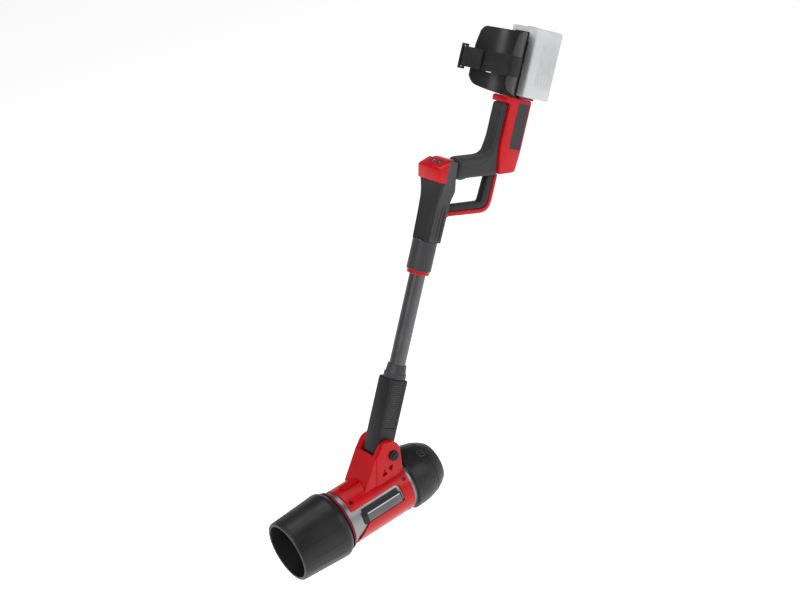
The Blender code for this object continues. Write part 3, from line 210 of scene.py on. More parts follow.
# Nozzle. A black moulded cone that twists onto the duct, widest at its rounded rear shoulder, with
# thin grooves along it and a rolled front lip; it has a fine satin grain.
OUTLET = Vector((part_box("nozzle")[1].x, 0.0, sum(c.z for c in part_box("nozzle")) / 2))
NOZZLE_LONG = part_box("nozzle")[1].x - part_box("nozzle")[0].x


def made(name, bm, look, body, limit=30):
    """A new piece from the mesh being built: cleaned, shaded, finished and set on its body."""
    bmesh.ops.recalc_face_normals(bm, faces=bm.faces)
    mesh = bpy.data.meshes.new(name)
    bm.to_mesh(mesh)
    bm.free()
    piece = bpy.data.objects.new(name, mesh)
    bpy.context.scene.collection.objects.link(piece)
    for face in mesh.polygons:
        face.use_smooth = True
    mesh.set_sharp_from_angle(angle=math.radians(limit))
    mesh.materials.append(look)
    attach(piece, body)
    return piece


def lathe(profile, angles, dent=None):
    """A closed skin turned about the barrel's axis from (x, radius) points, in mm from the outlet."""
    bm = bmesh.new()
    rings = []
    for k, angle in enumerate(angles):
        ring = []
        for j, (x, radius) in enumerate(profile):
            r = radius - (dent(x, radius, angle, j) if dent else 0.0)
            ring.append(bm.verts.new(OUTLET + Vector((x, r * math.sin(angle), r * math.cos(angle))) * MM))
        rings.append(ring)
    for a, b in zip(rings, rings[1:] + rings[:1]):
        for j in range(len(profile)):
            i = (j + 1) % len(profile)
            bm.faces.new((a[j], a[i], b[i], b[j]))
    return bm


black_satin = surface("black_satin_moulding", (0.014, 0.014, 0.015), 0.38, 1700, 0.16, 0.05, edge=0.35)
dark_red = surface("dark_red_moulding", (0.17, 0.007, 0.020), 0.36, 1500, 0.08, 0.06, edge=0.3)
GROOVES = 16
GROOVE_HALF = math.radians(0.75)
GROOVE_EDGES = (-GROOVE_HALF * 1.7, -GROOVE_HALF, GROOVE_HALF, GROOVE_HALF * 1.7)
BETWEEN_GROOVES = tuple(math.radians(step) for step in (6, 11, 16.5))
nozzle_angles = sorted(
    (math.tau * k / GROOVES + step) % math.tau
    for k in range(GROOVES)
    for step in GROOVE_EDGES + BETWEEN_GROOVES
)


def nozzle_dent(x, radius, angle, j):
    """The grooves run from behind the lip to the shoulder's foot."""
    middle = round(angle / math.tau * GROOVES) * math.tau / GROOVES
    grooved = abs(angle - middle) <= GROOVE_HALF * 1.01 and -92.0 < x < -8.0 and j in GROOVED_POINTS
    return 0.55 if grooved else 0.0


back = -NOZZLE_LONG / MM
nozzle_profile = [
    (0.0, 55.0), (-0.15, 56.2), (-0.15, 59.0), (-0.8, 60.4), (-2.2, 61.3), (-5.5, 61.6), (-6.4, 61.0),
    (-7.6, 61.0), (-8.2, 61.8), (-8.6, 61.9), (-40.0, 63.8), (-70.0, 65.7), (-91.4, 67.0), (-91.8, 67.05),
    (-98.0, 67.5), (-102.0, 67.5), (-105.5, 66.6), (-108.5, 64.8), (-112.5, 61.0), (back + 0.2, 58.4),
    (back, 57.0), (back, 55.3), (back + 5.0, 55.0), (-104.0, 55.4), (-60.0, 55.0), (-6.0, 54.2), (-1.0, 54.3),
]
GROOVED_POINTS = range(9, 13)
nozzle_mesh = lathe(nozzle_profile, nozzle_angles, nozzle_dent)
nozzle = made("nozzle_cone", nozzle_mesh, black_satin, "blower_head")
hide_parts("nozzle")
dress(dark_red, "nozzle_seal")

# Motor shell. Two halves of glossy red plastic screwed round the duct, cut away at the front left as a
# window; the moulding has a slight orange-peel, and its edges are painted paler, partly as wear from handling
# and partly as painted highlight.
red_gloss = surface("red_gloss_moulding", (0.50, 0.003, 0.008), 0.27, 700, 0.05, 0.06,
                    coat=0.06, edge=0.22, tone=0.10, ior=1.31)
dress(red_gloss, "motor_shell")

# Shell screws. Six blackened pan-head steel screws, sunk in round holes of the shell, which hold its
# two halves together.
dark_steel = surface("blackened_steel", (0.035, 0.035, 0.037), 0.40, 1200, 0.10, 0.08, metal=0.9, edge=0.4)
dress(dark_steel, "shell_screw_1", "shell_screw_2")
SHELL_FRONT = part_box("motor_shell")[1].x - OUTLET.x
SHELL_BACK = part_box("motor_shell")[0].x - OUTLET.x


def pan_head(x, degrees, radius, base, top):
    """A screw head with a crossed recess, sunk along the line out from the barrel's axis."""
    bm = bmesh.new()
    out = Vector((0.0, math.cos(math.radians(degrees)), math.sin(math.radians(degrees))))
    turn = out.to_track_quat("Z", "Y").to_matrix()
    centre = OUTLET + Vector((x, 0, 0))
    count = 32
    profile = (
        (0.80, base, 0), (1.0, base, 0), (1.0, top - 0.9, 0), (0.9, top - 0.3, 0), (0.62, top, 0),
        (0.60, top, 0.9), (0.30, top, 1.1), (0.08, top, 1.2),
    )
    rings = []
    for share, height, deep in profile:
        ring = []
        for k in range(count):
            a = math.tau * k / count
            in_cross = deep and abs(math.cos(2 * a)) ** 0.5 > 0.75
            reach = share * radius
            spot = Vector((reach * math.cos(a), reach * math.sin(a), height - (deep if in_cross else 0.0)))
            ring.append(bm.verts.new(centre + turn @ (spot * MM)))
        rings.append(ring)
    for a, b in zip(rings, rings[1:]):
        for k in range(count):
            j = (k + 1) % count
            bm.faces.new((a[k], a[j], b[j], b[k]))
    bm.faces.new(rings[0])
    bm.faces.new(rings[-1])
    return bm


SCREW_HEAD_R, SCREW_BASE_R, SCREW_TOP_R = 3.85, 54.45, 55.4
shell_spots = (
    (SHELL_BACK + 12 * MM, -41.5), (SHELL_FRONT - 9.5 * MM, 128.5),
    (SHELL_BACK + 10 * MM, 143.5), (SHELL_BACK + 12 * MM, 221.5),
)
for number, (x, degrees) in enumerate(shell_spots):
    head = pan_head(x, degrees, SCREW_HEAD_R, SCREW_BASE_R, SCREW_TOP_R)
    made(f"shell_screw_head_{number + 1}", head, dark_steel, "blower_head", 40)

# Window frame and rating plate. A black moulded frame follows the window, and a black strip lies along the
# window's upper part where the duct looks dark. A dark pebbled plate is glued on the duct inside it; a bright
# metal strip along its upper edge is a painted highlight, and its lettering is left out. A black bracket with
# a ring stands at the plate's front end.
plate_look = surface("pebbled_plate", (0.15, 0.153, 0.158), 0.38, 520, 0.55, 0.10, metal=0.3, tone=0.25)
dress(black_satin, "window_frame")
dress(plate_look, "rating_plate")
# A bright metal strip along the plate's upper edge, built as a painted highlight.
plate_edge_highlight_look = surface("plate_edge_painted_highlight", (0.72, 0.73, 0.75), 0.22, 1400, 0.05, 0.05, metal=1.0)
plate_low, plate_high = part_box("rating_plate")
EDGE_WIDE = 2.4 * MM
EDGE_PROUD = 0.35 * MM


def bar_along_barrel(start, end, low_angle, high_angle, inner, outer, steps=4):
    """A slim bar bent to the barrel's round, in metres and radians from the left towards the top."""
    bm = bmesh.new()
    loops = []
    for x in (start, end):
        turns = [low_angle + (high_angle - low_angle) * k / steps for k in range(steps + 1)]
        path = [(outer, a) for a in turns] + [(inner, a) for a in reversed(turns)]
        loops.append([bm.verts.new((x, r * math.cos(a), OUTLET.z + r * math.sin(a))) for r, a in path])
    for i in range(len(loops[0])):
        j = (i + 1) % len(loops[0])
        bm.faces.new((loops[0][i], loops[0][j], loops[1][j], loops[1][i]))
    for loop in loops:
        bm.faces.new(loop)
    return bm


plate_out = math.hypot(plate_high.y, 0.0) + EDGE_PROUD
plate_top = math.asin(min(1.0, (plate_high.z - OUTLET.z) / plate_out))
bar = bar_along_barrel(
    plate_low.x + 1.5 * MM, plate_high.x - 1.5 * MM,
    plate_top - EDGE_WIDE / plate_out, plate_top - 0.2 * MM / plate_out,
    plate_out - 1.2 * MM, plate_out,
)
made("plate_edge_highlight_strip", bar, plate_edge_highlight_look, "blower_head")
# A black strip along the window's upper part, where the duct looks dark.
window_dark_strip_mesh = bar_along_barrel(
    plate_low.x + 2 * MM, plate_high.x + 7 * MM, plate_top + 0.050, plate_top + 0.225,
    plate_out - 2.0 * MM, plate_out - 0.6 * MM,
)
made("window_dark_strip", window_dark_strip_mesh, black_satin, "blower_head")
bracket = bar_along_barrel(
    plate_high.x + 1.2 * MM, plate_high.x + 10.5 * MM, -0.03, plate_top + 0.11,
    plate_out - 2.2 * MM, plate_out + 0.5 * MM,
)
made("window_bracket", bracket, black_satin, "blower_head")


def raised_ring(hub, lean, radius, wide, high, count=36):
    """A low round ring with softened edges, standing on the hub, in mm."""
    bm = bmesh.new()
    profile = (
        (radius, 0.0), (radius, high - 0.3), (radius - 0.4, high), (radius - wide + 0.5, high),
        (radius - wide, high - 0.4), (radius - wide, 0.0),
    )
    rows = []
    for r, h in profile:
        turns = [math.tau * k / count for k in range(count)]
        spots = [Vector((r * math.cos(a), r * math.sin(a), h)) * MM for a in turns]
        rows.append([bm.verts.new(hub + lean @ spot) for spot in spots])
    for a, b in zip(rows, rows[1:] + rows[:1]):
        for k in range(count):
            j = (k + 1) % count
            bm.faces.new((a[k], a[j], b[j], b[k]))
    return bm


ring_turn = plate_top - 0.02
ring_out = Vector((0, math.cos(ring_turn), math.sin(ring_turn))) * (plate_out + 0.4 * MM)
ring_hub = Vector((plate_high.x + 5.8 * MM, 0.0, OUTLET.z)) + ring_out
ring = raised_ring(ring_hub, Matrix.Rotation(ring_turn - math.pi / 2, 4, "X"), 3.4, 1.5, 1.1)
made("window_bracket_ring", ring, dark_steel, "blower_head", 40)

# Intake. A black domed housing behind a plain ring, with a raised seam and short ribs, its rear mouth
# closed by a ribbed grille; a small sprung latch in a raised frame locks it to the duct.
grey_grain = surface("dark_grey_moulding", (0.040, 0.040, 0.043), 0.42, 1500, 0.16, 0.06, edge=0.35)
dress(black_satin, "inlet_ring", "inlet_housing", "inlet_grille")
dress(grey_grain, "inlet_latch")
bpy.context.view_layer.update()
dome_skin = BVHTree.FromObject(frame["nodes"]["inlet_housing"], bpy.context.evaluated_depsgraph_get())
latch_low, latch_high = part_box("inlet_latch")
latch_mid = (latch_low + latch_high) / 2
LATCH_TURN = math.atan2(latch_mid.z - OUTLET.z, latch_mid.y)


def on_dome(x, turn):
    """The point of the intake's skin at that place along the barrel and turn from the left over the top."""
    out = Vector((0.0, math.cos(turn), math.sin(turn)))
    start = Vector((x, 0.0, OUTLET.z)) + out * 0.09
    spot = dome_skin.ray_cast(start, -out)[0]
    return spot - out * 0.15 * MM


def bead(name, points, radius, look, body):
    """A slim raised bead laid along points, as a solid tube with closed ends."""
    line = bpy.data.curves.new(name, "CURVE")
    line.dimensions = "3D"
    line.bevel_depth = radius
    line.bevel_resolution = 2
    line.use_fill_caps = True
    spline = line.splines.new("POLY")
    spline.points.add(len(points) - 1)
    for spot, point in zip(spline.points, points):
        spot.co = (*point, 1.0)
    thread = bpy.data.objects.new(name + "_line", line)
    bpy.context.scene.collection.objects.link(thread)
    bpy.context.view_layer.update()
    mesh = bpy.data.meshes.new_from_object(thread.evaluated_get(bpy.context.evaluated_depsgraph_get()))
    bpy.data.objects.remove(thread)
    piece = bpy.data.objects.new(name, mesh)
    bpy.context.scene.collection.objects.link(piece)
    for face in mesh.polygons:
        face.use_smooth = True
    mesh.materials.clear()
    mesh.materials.append(look)
    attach(piece, body)
    return piece


seam_x = latch_mid.x - 9.0 * MM
seam_round = [on_dome(seam_x, math.tau * k / 96) for k in range(97)]
bead("intake_seam", seam_round, 0.9 * MM, black_satin, "blower_head")
FRAME_HALF_LONG = 6.2 * MM
FRAME_HALF_TURN = 0.125
loop = []
for k in range(41):
    turn = math.tau * k / 40
    bulge = max(abs(math.cos(turn)), abs(math.sin(turn))) ** -0.75
    x = latch_mid.x + FRAME_HALF_LONG * math.cos(turn) * bulge
    loop.append(on_dome(x, LATCH_TURN + FRAME_HALF_TURN * math.sin(turn) * bulge))
# The latch frame takes the lighter grey moulding as painted highlight, standing for the glints on its raised
# edges.
bead("latch_frame", loop, 1.3 * MM, grey_grain, "blower_head")
for number, turn in enumerate((LATCH_TURN + 0.42, LATCH_TURN - 0.42, LATCH_TURN - 0.95)):
    run = [on_dome(seam_x + (3.0 + 1.5 * k) * MM, turn) for k in range(12)]
    bead(f"intake_rib_{number + 1}", run, 1.0 * MM, black_satin, "blower_head")

# Fan, motor pod and tail cone. Grey glass-filled nylon: the bladed wheel turns on the steel shaft, and
# the pod behind it carries the motor on seven vanes.
nylon_grey = surface("glass_filled_nylon", (0.050, 0.050, 0.053), 0.48, 1100, 0.22, 0.08, edge=0.3)
dress(nylon_grey, "fan", "motor_pod", "tail_cone")

# Motor. A brushless can with its rotor, ground shaft and two ball bearings, pressed into the pod.
ground_steel = surface("ground_steel", (0.58, 0.58, 0.60), 0.22, 1600, 0.08, 0.05, metal=1.0,
                       stretch=(0.3, 4.0, 4.0))
dress(dark_steel, "motor_stator", "motor_rotor")
dress(ground_steel, "motor_shaft", "bearing_rear", "bearing_front")

# Tilt bracket. A red clevis screwed to the shell's top, its two ears holding the stick's foot; a black
# bolt with a socket head passes through both and ends in a nut.
dress(red_gloss, "tilt_bracket")
dress(dark_steel, "tilt_bolt", "tilt_nut")
TILT = next(j for j in frame["joints"] if j["name"] == "head_tilt")
PIVOT = Vector(TILT["pos_m"])
bolt_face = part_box("tilt_bolt")[1].y


def socket_ring(face, outer, across, deep):
    """A raised round ring with a six-sided hole, round the pivot on the tool's left."""
    bm = bmesh.new()
    count = 48
    rims = []
    for height in (0.0, deep):
        rim, hole = [], []
        for k in range(count):
            turn = math.tau * k / count
            rim.append(bm.verts.new(PIVOT + Vector((outer * math.cos(turn), 0, outer * math.sin(turn)))))
        for k in range(count):
            turn = math.tau * k / count
            off = (turn + math.pi / 6) % (math.pi / 3) - math.pi / 6
            radius = across / math.cos(off)
            hole.append(bm.verts.new(PIVOT + Vector((radius * math.cos(turn), 0, radius * math.sin(turn)))))
        for point in rim + hole:
            point.co.y = face - 0.1 * MM + height
        rims.append((rim, hole))
    (low_rim, low_hole), (high_rim, high_hole) = rims
    for k in range(count):
        j = (k + 1) % count
        bm.faces.new((low_rim[k], low_rim[j], high_rim[j], high_rim[k]))
        bm.faces.new((low_hole[j], low_hole[k], high_hole[k], high_hole[j]))
        bm.faces.new((high_rim[k], high_rim[j], high_hole[j], high_hole[k]))
        bm.faces.new((low_rim[j], low_rim[k], low_hole[k], low_hole[j]))
    return bm


socket = socket_ring(bolt_face, 5.6 * MM, 3.1 * MM, 1.2 * MM)
made("bolt_socket", socket, dark_steel, "blower_head")

# Lower grip. A square black moulding round the tube's foot, its left and right faces set with finely
# ribbed soft panels; it pivots between the bracket's ears.
SLIDE = next(j for j in frame["joints"] if j["name"] == "tube_slide")
ALONG = -Vector(SLIDE["axis"])
BACK = Vector((-ALONG.z, 0.0, ALONG.x))
SIDE = Vector((0.0, 1.0, 0.0))


def at(back, along, across=0.0):
    """A point of the stick, from mm back from and along from the tilt pivot and across to the left."""
    return PIVOT + (BACK * back + ALONG * along + SIDE * across) * MM


soft_rubber = surface("soft_touch_rubber", (0.024, 0.024, 0.026), 0.58, 1300, 0.30, 0.07,
                      edge=0.25, sheen=0.15)
dress(black_satin, "lower_grip")
dress(soft_rubber, "grip_panel_left", "grip_panel_right")

# Telescopic tube and lower collar. Grey anodised aluminium, drawn, so its fine lines run along it; a
# dark grey plastic collar with a stepped nose closes the lower grip on it.
tube_metal = surface("grey_anodised_tube", (0.115, 0.115, 0.120), 0.33, 700, 0.10, 0.06, metal=0.85,
                     stretch=(3.0, 3.0, 0.25), tone=0.08)
dress(tube_metal, "telescopic_tube")
dress(grey_grain, "lower_collar")

# Motor lead. A round rubber-sheathed lead that runs up inside the tube.
cable_rubber = surface("cable_rubber", (0.015, 0.015, 0.015), 0.5, 900, 0.12)
dress(cable_rubber, "motor_lead")

# Twist lock. A red ring and a dark grey sleeve that turn to clamp a nylon bush on the tube.
nylon_white = surface("natural_nylon", (0.66, 0.65, 0.60), 0.5, 900, 0.12)
dress(red_gloss, "lock_ring")
dress(grey_grain, "twist_collar")
dress(nylon_white, "clamp_bush")

# Head shells. A black front half overlaps a dark grey rear half; they are screwed together round the
# tube's top, and the rear half has raised ribs along each side.
dress(black_satin, "front_shell")
dress(grey_grain, "rear_shell")


def rounded_bar(bm, start, end, wide, proud, side):
    """A long pillow-topped rib between two (back, along, across) points on a side face."""
    first, last = at(*start), at(*end)
    way = (last - first).normalized()
    over = way.cross(SIDE).normalized() * wide / 2 * MM
    out = SIDE * side * MM
    rows = []
    steps = 12
    for k in range(steps + 1):
        share = k / steps
        ease = min(1.0, share * 6, (1 - share) * 6)
        height = proud * (1 - (1 - ease) ** 2)
        mid = first.lerp(last, share)
        shape = ((-1.0, -0.6), (-0.8, 0.55), (-0.4, 0.95), (0.4, 0.95), (0.8, 0.55), (1.0, -0.6))
        rows.append([bm.verts.new(mid + over * a + out * (height * b if b > 0 else b)) for a, b in shape])
    for a, b in zip(rows, rows[1:]):
        for j in range(len(a)):
            i = (j + 1) % len(a)
            bm.faces.new((a[j], a[i], b[i], b[j]))
    bm.faces.new(rows[0])
    bm.faces.new(rows[-1])


ribs = bmesh.new()
for side in (-1, 1):
    for back_at in (-13.0, -5.0, 3.0):
        rounded_bar(ribs, (back_at, 419.0, side * 23.85), (back_at, 490.0, side * 25.1), 3.6, 1.6, side)
made("head_ribs", ribs, grey_grain, "handle", 40)

# Control cap. A faceted red wedge over the head, with two pushbuttons in pale-lined windows on its
# sloping top; the buttons are dark grey with plain dots instead of signs.
pale_print = surface("pale_print", (0.80, 0.80, 0.78), 0.45, 900, 0.05)
dress(red_gloss, "control_cap")
dress(grey_grain, "power_button", "boost_button")
PRESS = Vector(next(j for j in frame["joints"] if j["name"] == "power_press")["axis"])
CAP_TOP_IN = 0.8 * MM
OUTLINE_CURVE = 1.6 * MM


def button_frame(bm, node):
    """A thin pale outline on the cap round one button."""
    low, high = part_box(node)
    mid = (low + high) / 2
    out = -PRESS
    slope = out.cross(SIDE).normalized()
    points = [v.co for v in frame["nodes"][node].data.vertices]
    top = max(out.dot(p) for p in points) - CAP_TOP_IN
    reach = [slope.dot(p) for p in points]
    centre = slope * (min(reach) + max(reach)) / 2 + SIDE * mid.y + out * top
    half_s, half_y = (max(reach) - min(reach)) / 2, (high.y - low.y) / 2
    rings = []
    for grow, rise in ((0.5, -0.6), (0.5, 0.6), (1.9, 0.6), (1.9, -0.6)):
        a, b = half_s + grow * MM, half_y + grow * MM
        ring = []
        for sx, sy in ((1, 1), (-1, 1), (-1, -1), (1, -1)):
            for k in range(4):
                turn = math.atan2(sy, sx) - math.pi / 4 + k * math.pi / 6
                down = slope * (sx * (a - OUTLINE_CURVE) + OUTLINE_CURVE * math.cos(turn))
                over = SIDE * (sy * (b - OUTLINE_CURVE) + OUTLINE_CURVE * math.sin(turn))
                ring.append(bm.verts.new(centre + (down + over) + out * rise * MM))
        rings.append(ring)
    for a, b in zip(rings, rings[1:] + rings[:1]):
        for j in range(len(a)):
            i = (j + 1) % len(a)
            bm.faces.new((a[j], a[i], b[i], b[j]))
    return centre, slope, out


outlines = bmesh.new()
button_spots = {node: button_frame(outlines, node) for node in ("power_button", "boost_button")}
made("button_outlines", outlines, pale_print, "handle")
for node, (centre, slope, out) in button_spots.items():
    dots = bmesh.new()
    count = 1 if node == "power_button" else 3
    for k in range(count):
        spot = centre + slope * (k - (count - 1) / 2) * 3.0 * MM + out * (CAP_TOP_IN + 0.05 * MM)
        turn = out.to_track_quat("Z", "Y").to_matrix().to_4x4()
        bmesh.ops.create_cone(
            dots, cap_ends=True, segments=20, radius1=0.95 * MM, radius2=0.75 * MM, depth=0.4 * MM,
            matrix=Matrix.Translation(spot) @ turn,
        )
    key = "power_key" if node == "power_button" else "boost_key"
    made(f"{node}_dots", dots, pale_print, key)

# Controller. A small green circuit board inside the head.
board_green = surface("circuit_board", (0.015, 0.12, 0.035), 0.4, 500, 0.2, tone=0.3)
dress(board_green, "controller_board")

# Hand grip. A soft-touch moulding over the bar, bending in one sweep up the arm's front, with a seam
# bead on each side; the trigger hangs below it on a steel pin with its switch above.
grip = frame["nodes"]["hand_grip"]
skin = grip.modifiers.new("moulded_skin", "REMESH")
skin.mode = "VOXEL"
skin.voxel_size = 1.3 * MM
soften = grip.modifiers.new("moulded_rounds", "SMOOTH")
soften.factor, soften.iterations = 0.5, 8
dress(soft_rubber, "hand_grip", limit=50)
dress(grey_grain, "trigger")
dress(ground_steel, "trigger_pin")
dress(black_satin, "trigger_switch")


def swept(corners, steps=10):
    """A path through (back, along) corners with each inner corner turned into a curve of its radius."""
    path = [Vector(corners[0][:2])]
    for before, here, after in zip(corners, corners[1:], corners[2:]):
        a, b, c = Vector(before[:2]), Vector(here[:2]), Vector(after[:2])
        reach = min(here[2], (a - b).length * 0.5, (c - b).length * 0.5)
        start, end = b + (a - b).normalized() * reach, b + (c - b).normalized() * reach
        path += [start.lerp(b, k / steps).lerp(b.lerp(end, k / steps), k / steps) for k in range(steps + 1)]
    path.append(Vector(corners[-1][:2]))
    return path


seam = swept([(18.0, 563.0, 0), (86.0, 579.0, 42.0), (97.0, 640.0, 30.0), (97.0, 696.0, 0)])
for side, word in ((1, "left"), (-1, "right")):
    line = [at(p.x, p.y, side * 17.95) for p in seam]
    bead(f"grip_seam_{word}", line, 0.7 * MM, soft_rubber, "handle")

# Grip ridges. Four low lengthwise ridges moulded on the grip's inner bend, where the palm rests.
bpy.context.view_layer.update()
palm = BVHTree.FromObject(grip, bpy.context.evaluated_depsgraph_get())
for number, across in enumerate((-11.5, -4.0, 4.0, 11.5)):
    line = []
    for k in range(45):
        turn = math.radians(-112 + 150 * k / 44)
        start = at(46.0, 650.0, across)
        spot = palm.ray_cast(start, BACK * math.cos(turn) + ALONG * math.sin(turn))[0]
        if spot:
            line.append(spot + (start - spot).normalized() * 0.1 * MM)
    bead(f"grip_ridge_{number + 1}", line, 0.75 * MM, soft_rubber, "handle")

# Guard loop. A black moulded loop below the grip with a red strip along its outer side, running on
# down the back of the head.
dress(black_satin, "loop_guard")
dress(red_gloss, "guard_strip")

# Arm. A red box spine with a dark panel on each side; the panels' lettering is left out. The arm's
# wiring runs inside it.
panel_look = surface("dark_panel", (0.030, 0.031, 0.033), 0.40, 800, 0.25, 0.06, edge=0.3)
dress(red_gloss, "arm_housing")
dress(panel_look, "label_panel_left", "label_panel_right")
dress(cable_rubber, "arm_wiring")

# Forearm cuff. A half-round black shell, open to the front and screwed to the arm's top plate; it has
# a satin skin that shines along its inside.
cuff_satin = surface("cuff_satin", (0.020, 0.020, 0.021), 0.36, 1500, 0.12, 0.05, edge=0.3)
dress(cuff_satin, "arm_cuff", "cuff_buckle", limit=50)
dress(dark_steel, "cuff_screw_lower", "cuff_screw_upper")

# Strap and anchor band. Black polyester webbing, 38 mm wide, woven with a raised rib along it and bound
# edges; the strap is sewn in the left slot and folded back on itself at the buckle.
WEB_WIDE = 38.0
WEB_THICK = 2.0
STRAP_MID = 769.0
CUFF_MID = 50.5
CUFF_R = 56.0
CUFF_WALL = 3.6
SLOT_AT = math.radians(48.0)
WEB_OUT = CUFF_R + WEB_THICK / 2 + 0.3
BUCKLE_AT = Vector((37.0, -57.0))
BUCKLE_WIRE = 4.0


def webbing(name, colour, rough):
    """Twill webbing: crossed yarns from the piece's own length and width, with a sheen like well-used
    webbing; the yarns' hollows are painted darker as shade and their crowns paler as highlight.
    """
    look = surface(name, colour, rough, 900, 0.05, 0.05, tone=0.3, sheen=0.08)
    tree = look.node_tree
    shader = tree.nodes["Principled BSDF"]
    lay = tree.nodes.new("ShaderNodeUVMap")
    split = tree.nodes.new("ShaderNodeSeparateXYZ")
    tree.links.new(lay.outputs["UV"], split.inputs["Vector"])

    def step(operation, first, second):
        node = tree.nodes.new("ShaderNodeMath")
        node.operation = operation
        for socket, value in zip(node.inputs, (first, second)):
            if isinstance(value, float):
                socket.default_value = value
            elif value is not None:
                tree.links.new(value, socket)
        return node.outputs["Value"]

    rib = step("SINE", step("MULTIPLY", split.outputs["Y"], 3600.0), None)
    slant = step("ADD", split.outputs["X"], step("MULTIPLY", step("ABSOLUTE", split.outputs["Y"], None), 1.4))
    pick = step("SINE", step("MULTIPLY", slant, 5200.0), None)
    yarn = step("MULTIPLY", rib, pick)
    weave = tree.nodes.new("ShaderNodeBump")
    weave.inputs["Strength"].default_value = 0.7
    weave.inputs["Distance"].default_value = 0.0004
    tree.links.new(yarn, weave.inputs["Height"])
    tree.links.new(weave.outputs["Normal"], shader.inputs["Normal"])
    # The weave's hollows are painted darker as shade and its crowns paler as highlight, following the weave's
    # height.
    painted_shade_dips, painted_highlight_crowns = tuple(c * 0.6 for c in colour), tuple(c * 1.5 for c in colour)
    shade = tinted(tree, ranged(tree, yarn, 0.0, 1.0, -1.0, 1.0), painted_shade_dips, painted_highlight_crowns)
    tree.links.new(shade, shader.inputs["Base Color"])
    return look


def on_cuff(radius, angle):
    return Vector((CUFF_MID + radius * math.cos(angle), radius * math.sin(angle)))


def band(name, path, look, ripple):
    """Webbing along a path of (back, across) points, standing across the stick, with rounded edges."""
    dense = [path[0]]
    for a, b in zip(path, path[1:]):
        parts = max(1, round((b - a).length / 1.5))
        dense += [a.lerp(b, k / parts) for k in range(1, parts + 1)]
    run = [0.0]
    for a, b in zip(dense, dense[1:]):
        run.append(run[-1] + (b - a).length)
    half, thick = WEB_WIDE / 2, WEB_THICK / 2 - 0.1
    across = [-1.0, -0.985, -0.94, -0.8, -0.5, -0.2, 0.2, 0.5, 0.8, 0.94, 0.985, 1.0]
    swell = [0.25, 0.75, 1.0, 0.86, 0.9, 0.86, 0.86, 0.9, 0.86, 1.0, 0.75, 0.25]
    bm = bmesh.new()
    lay = bm.loops.layers.uv.new("lay")
    place = {}
    rows = []
    for i, point in enumerate(dense):
        way = (dense[min(i + 1, len(dense) - 1)] - dense[max(i - 1, 0)]).normalized()
        out = Vector((-way.y, way.x))
        row = []
        for face in (1, -1):
            order = range(len(across)) if face == 1 else reversed(range(len(across)))
            for j in order:
                wave = ripple * math.sin(run[i] / 9.0 + across[j] * 1.1) * (1 - abs(across[j]) * 0.4)
                spot = point + out * (face * thick * swell[j] + wave)
                vertex = bm.verts.new(at(spot.x, STRAP_MID + across[j] * half, spot.y))
                place[vertex] = (run[i] * MM, across[j] * half * MM)
                row.append(vertex)
        rows.append(row)
    for a, b in zip(rows, rows[1:]):
        for j in range(len(a)):
            i = (j + 1) % len(a)
            bm.faces.new((a[j], a[i], b[i], b[j]))
    bm.faces.new(rows[0])
    bm.faces.new(rows[-1])
    for face in bm.faces:
        for loop in face.loops:
            loop[lay].uv = place[loop.vert]
    piece = made(name, bm, look, "handle", 70)
    return piece, run[-1]


web_look = webbing("black_webbing", (0.0065, 0.0065, 0.0070), 0.80)
start = SLOT_AT + 0.16
strap_path = [on_cuff(CUFF_R - CUFF_WALL - 3, SLOT_AT), on_cuff(CUFF_R - CUFF_WALL, SLOT_AT + 0.005)]
strap_path += [on_cuff(WEB_OUT - 1, SLOT_AT + 0.02), on_cuff(WEB_OUT, SLOT_AT + 0.09)]
strap_path += [on_cuff(WEB_OUT, start + (math.pi / 2 - start) * k / 12) for k in range(13)]
lip = CUFF_MID - WEB_THICK / 2 - 0.3
strap_path += [Vector((lip + 0.6, WEB_OUT - 0.5)), Vector((lip - 0.6, WEB_OUT - 2.6))]
turn_from = Vector((lip, WEB_OUT - 5))
strap_path += [turn_from.lerp(BUCKLE_AT, k / 6) for k in range(1, 7)]
wrap = BUCKLE_WIRE * 0.71 + WEB_THICK / 2 + 0.3
way = (BUCKLE_AT - turn_from).normalized()
fold = Vector((way.y, -way.x)) * wrap
if fold.x > 0:
    fold = -fold
leg = BUCKLE_AT + fold
half_turn = [math.pi * k / 8 for k in range(1, 8)]
strap_path += [leg - fold * math.cos(a) + way * wrap * math.sin(a) for a in half_turn]
strap_path += [leg + fold - way * d for d in (0.5, 12, 24, 36, 48)]
strap, strap_long = band("strap_webbing", strap_path, web_look, 0.12)
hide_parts("cuff_strap")

far_leg = leg + way * 11.0
band_path = [on_cuff(CUFF_R - CUFF_WALL - 3, -SLOT_AT), on_cuff(CUFF_R - CUFF_WALL, -SLOT_AT - 0.005)]
band_path += [on_cuff(WEB_OUT - 1, -SLOT_AT - 0.02), on_cuff(WEB_OUT, -SLOT_AT - 0.09)]
band_path += [on_cuff(WEB_OUT, -start - (math.pi / 2 - start) * k / 10) for k in range(11)]
band_path.append(Vector((CUFF_MID - 6, -WEB_OUT - 0.6)))
band_path.append(far_leg + Vector((BUCKLE_WIRE / 2 + WEB_THICK / 2 + 0.35, 0)))
anchor, anchor_long = band("anchor_webbing", band_path, web_look, 0.0)
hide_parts("anchor_band")

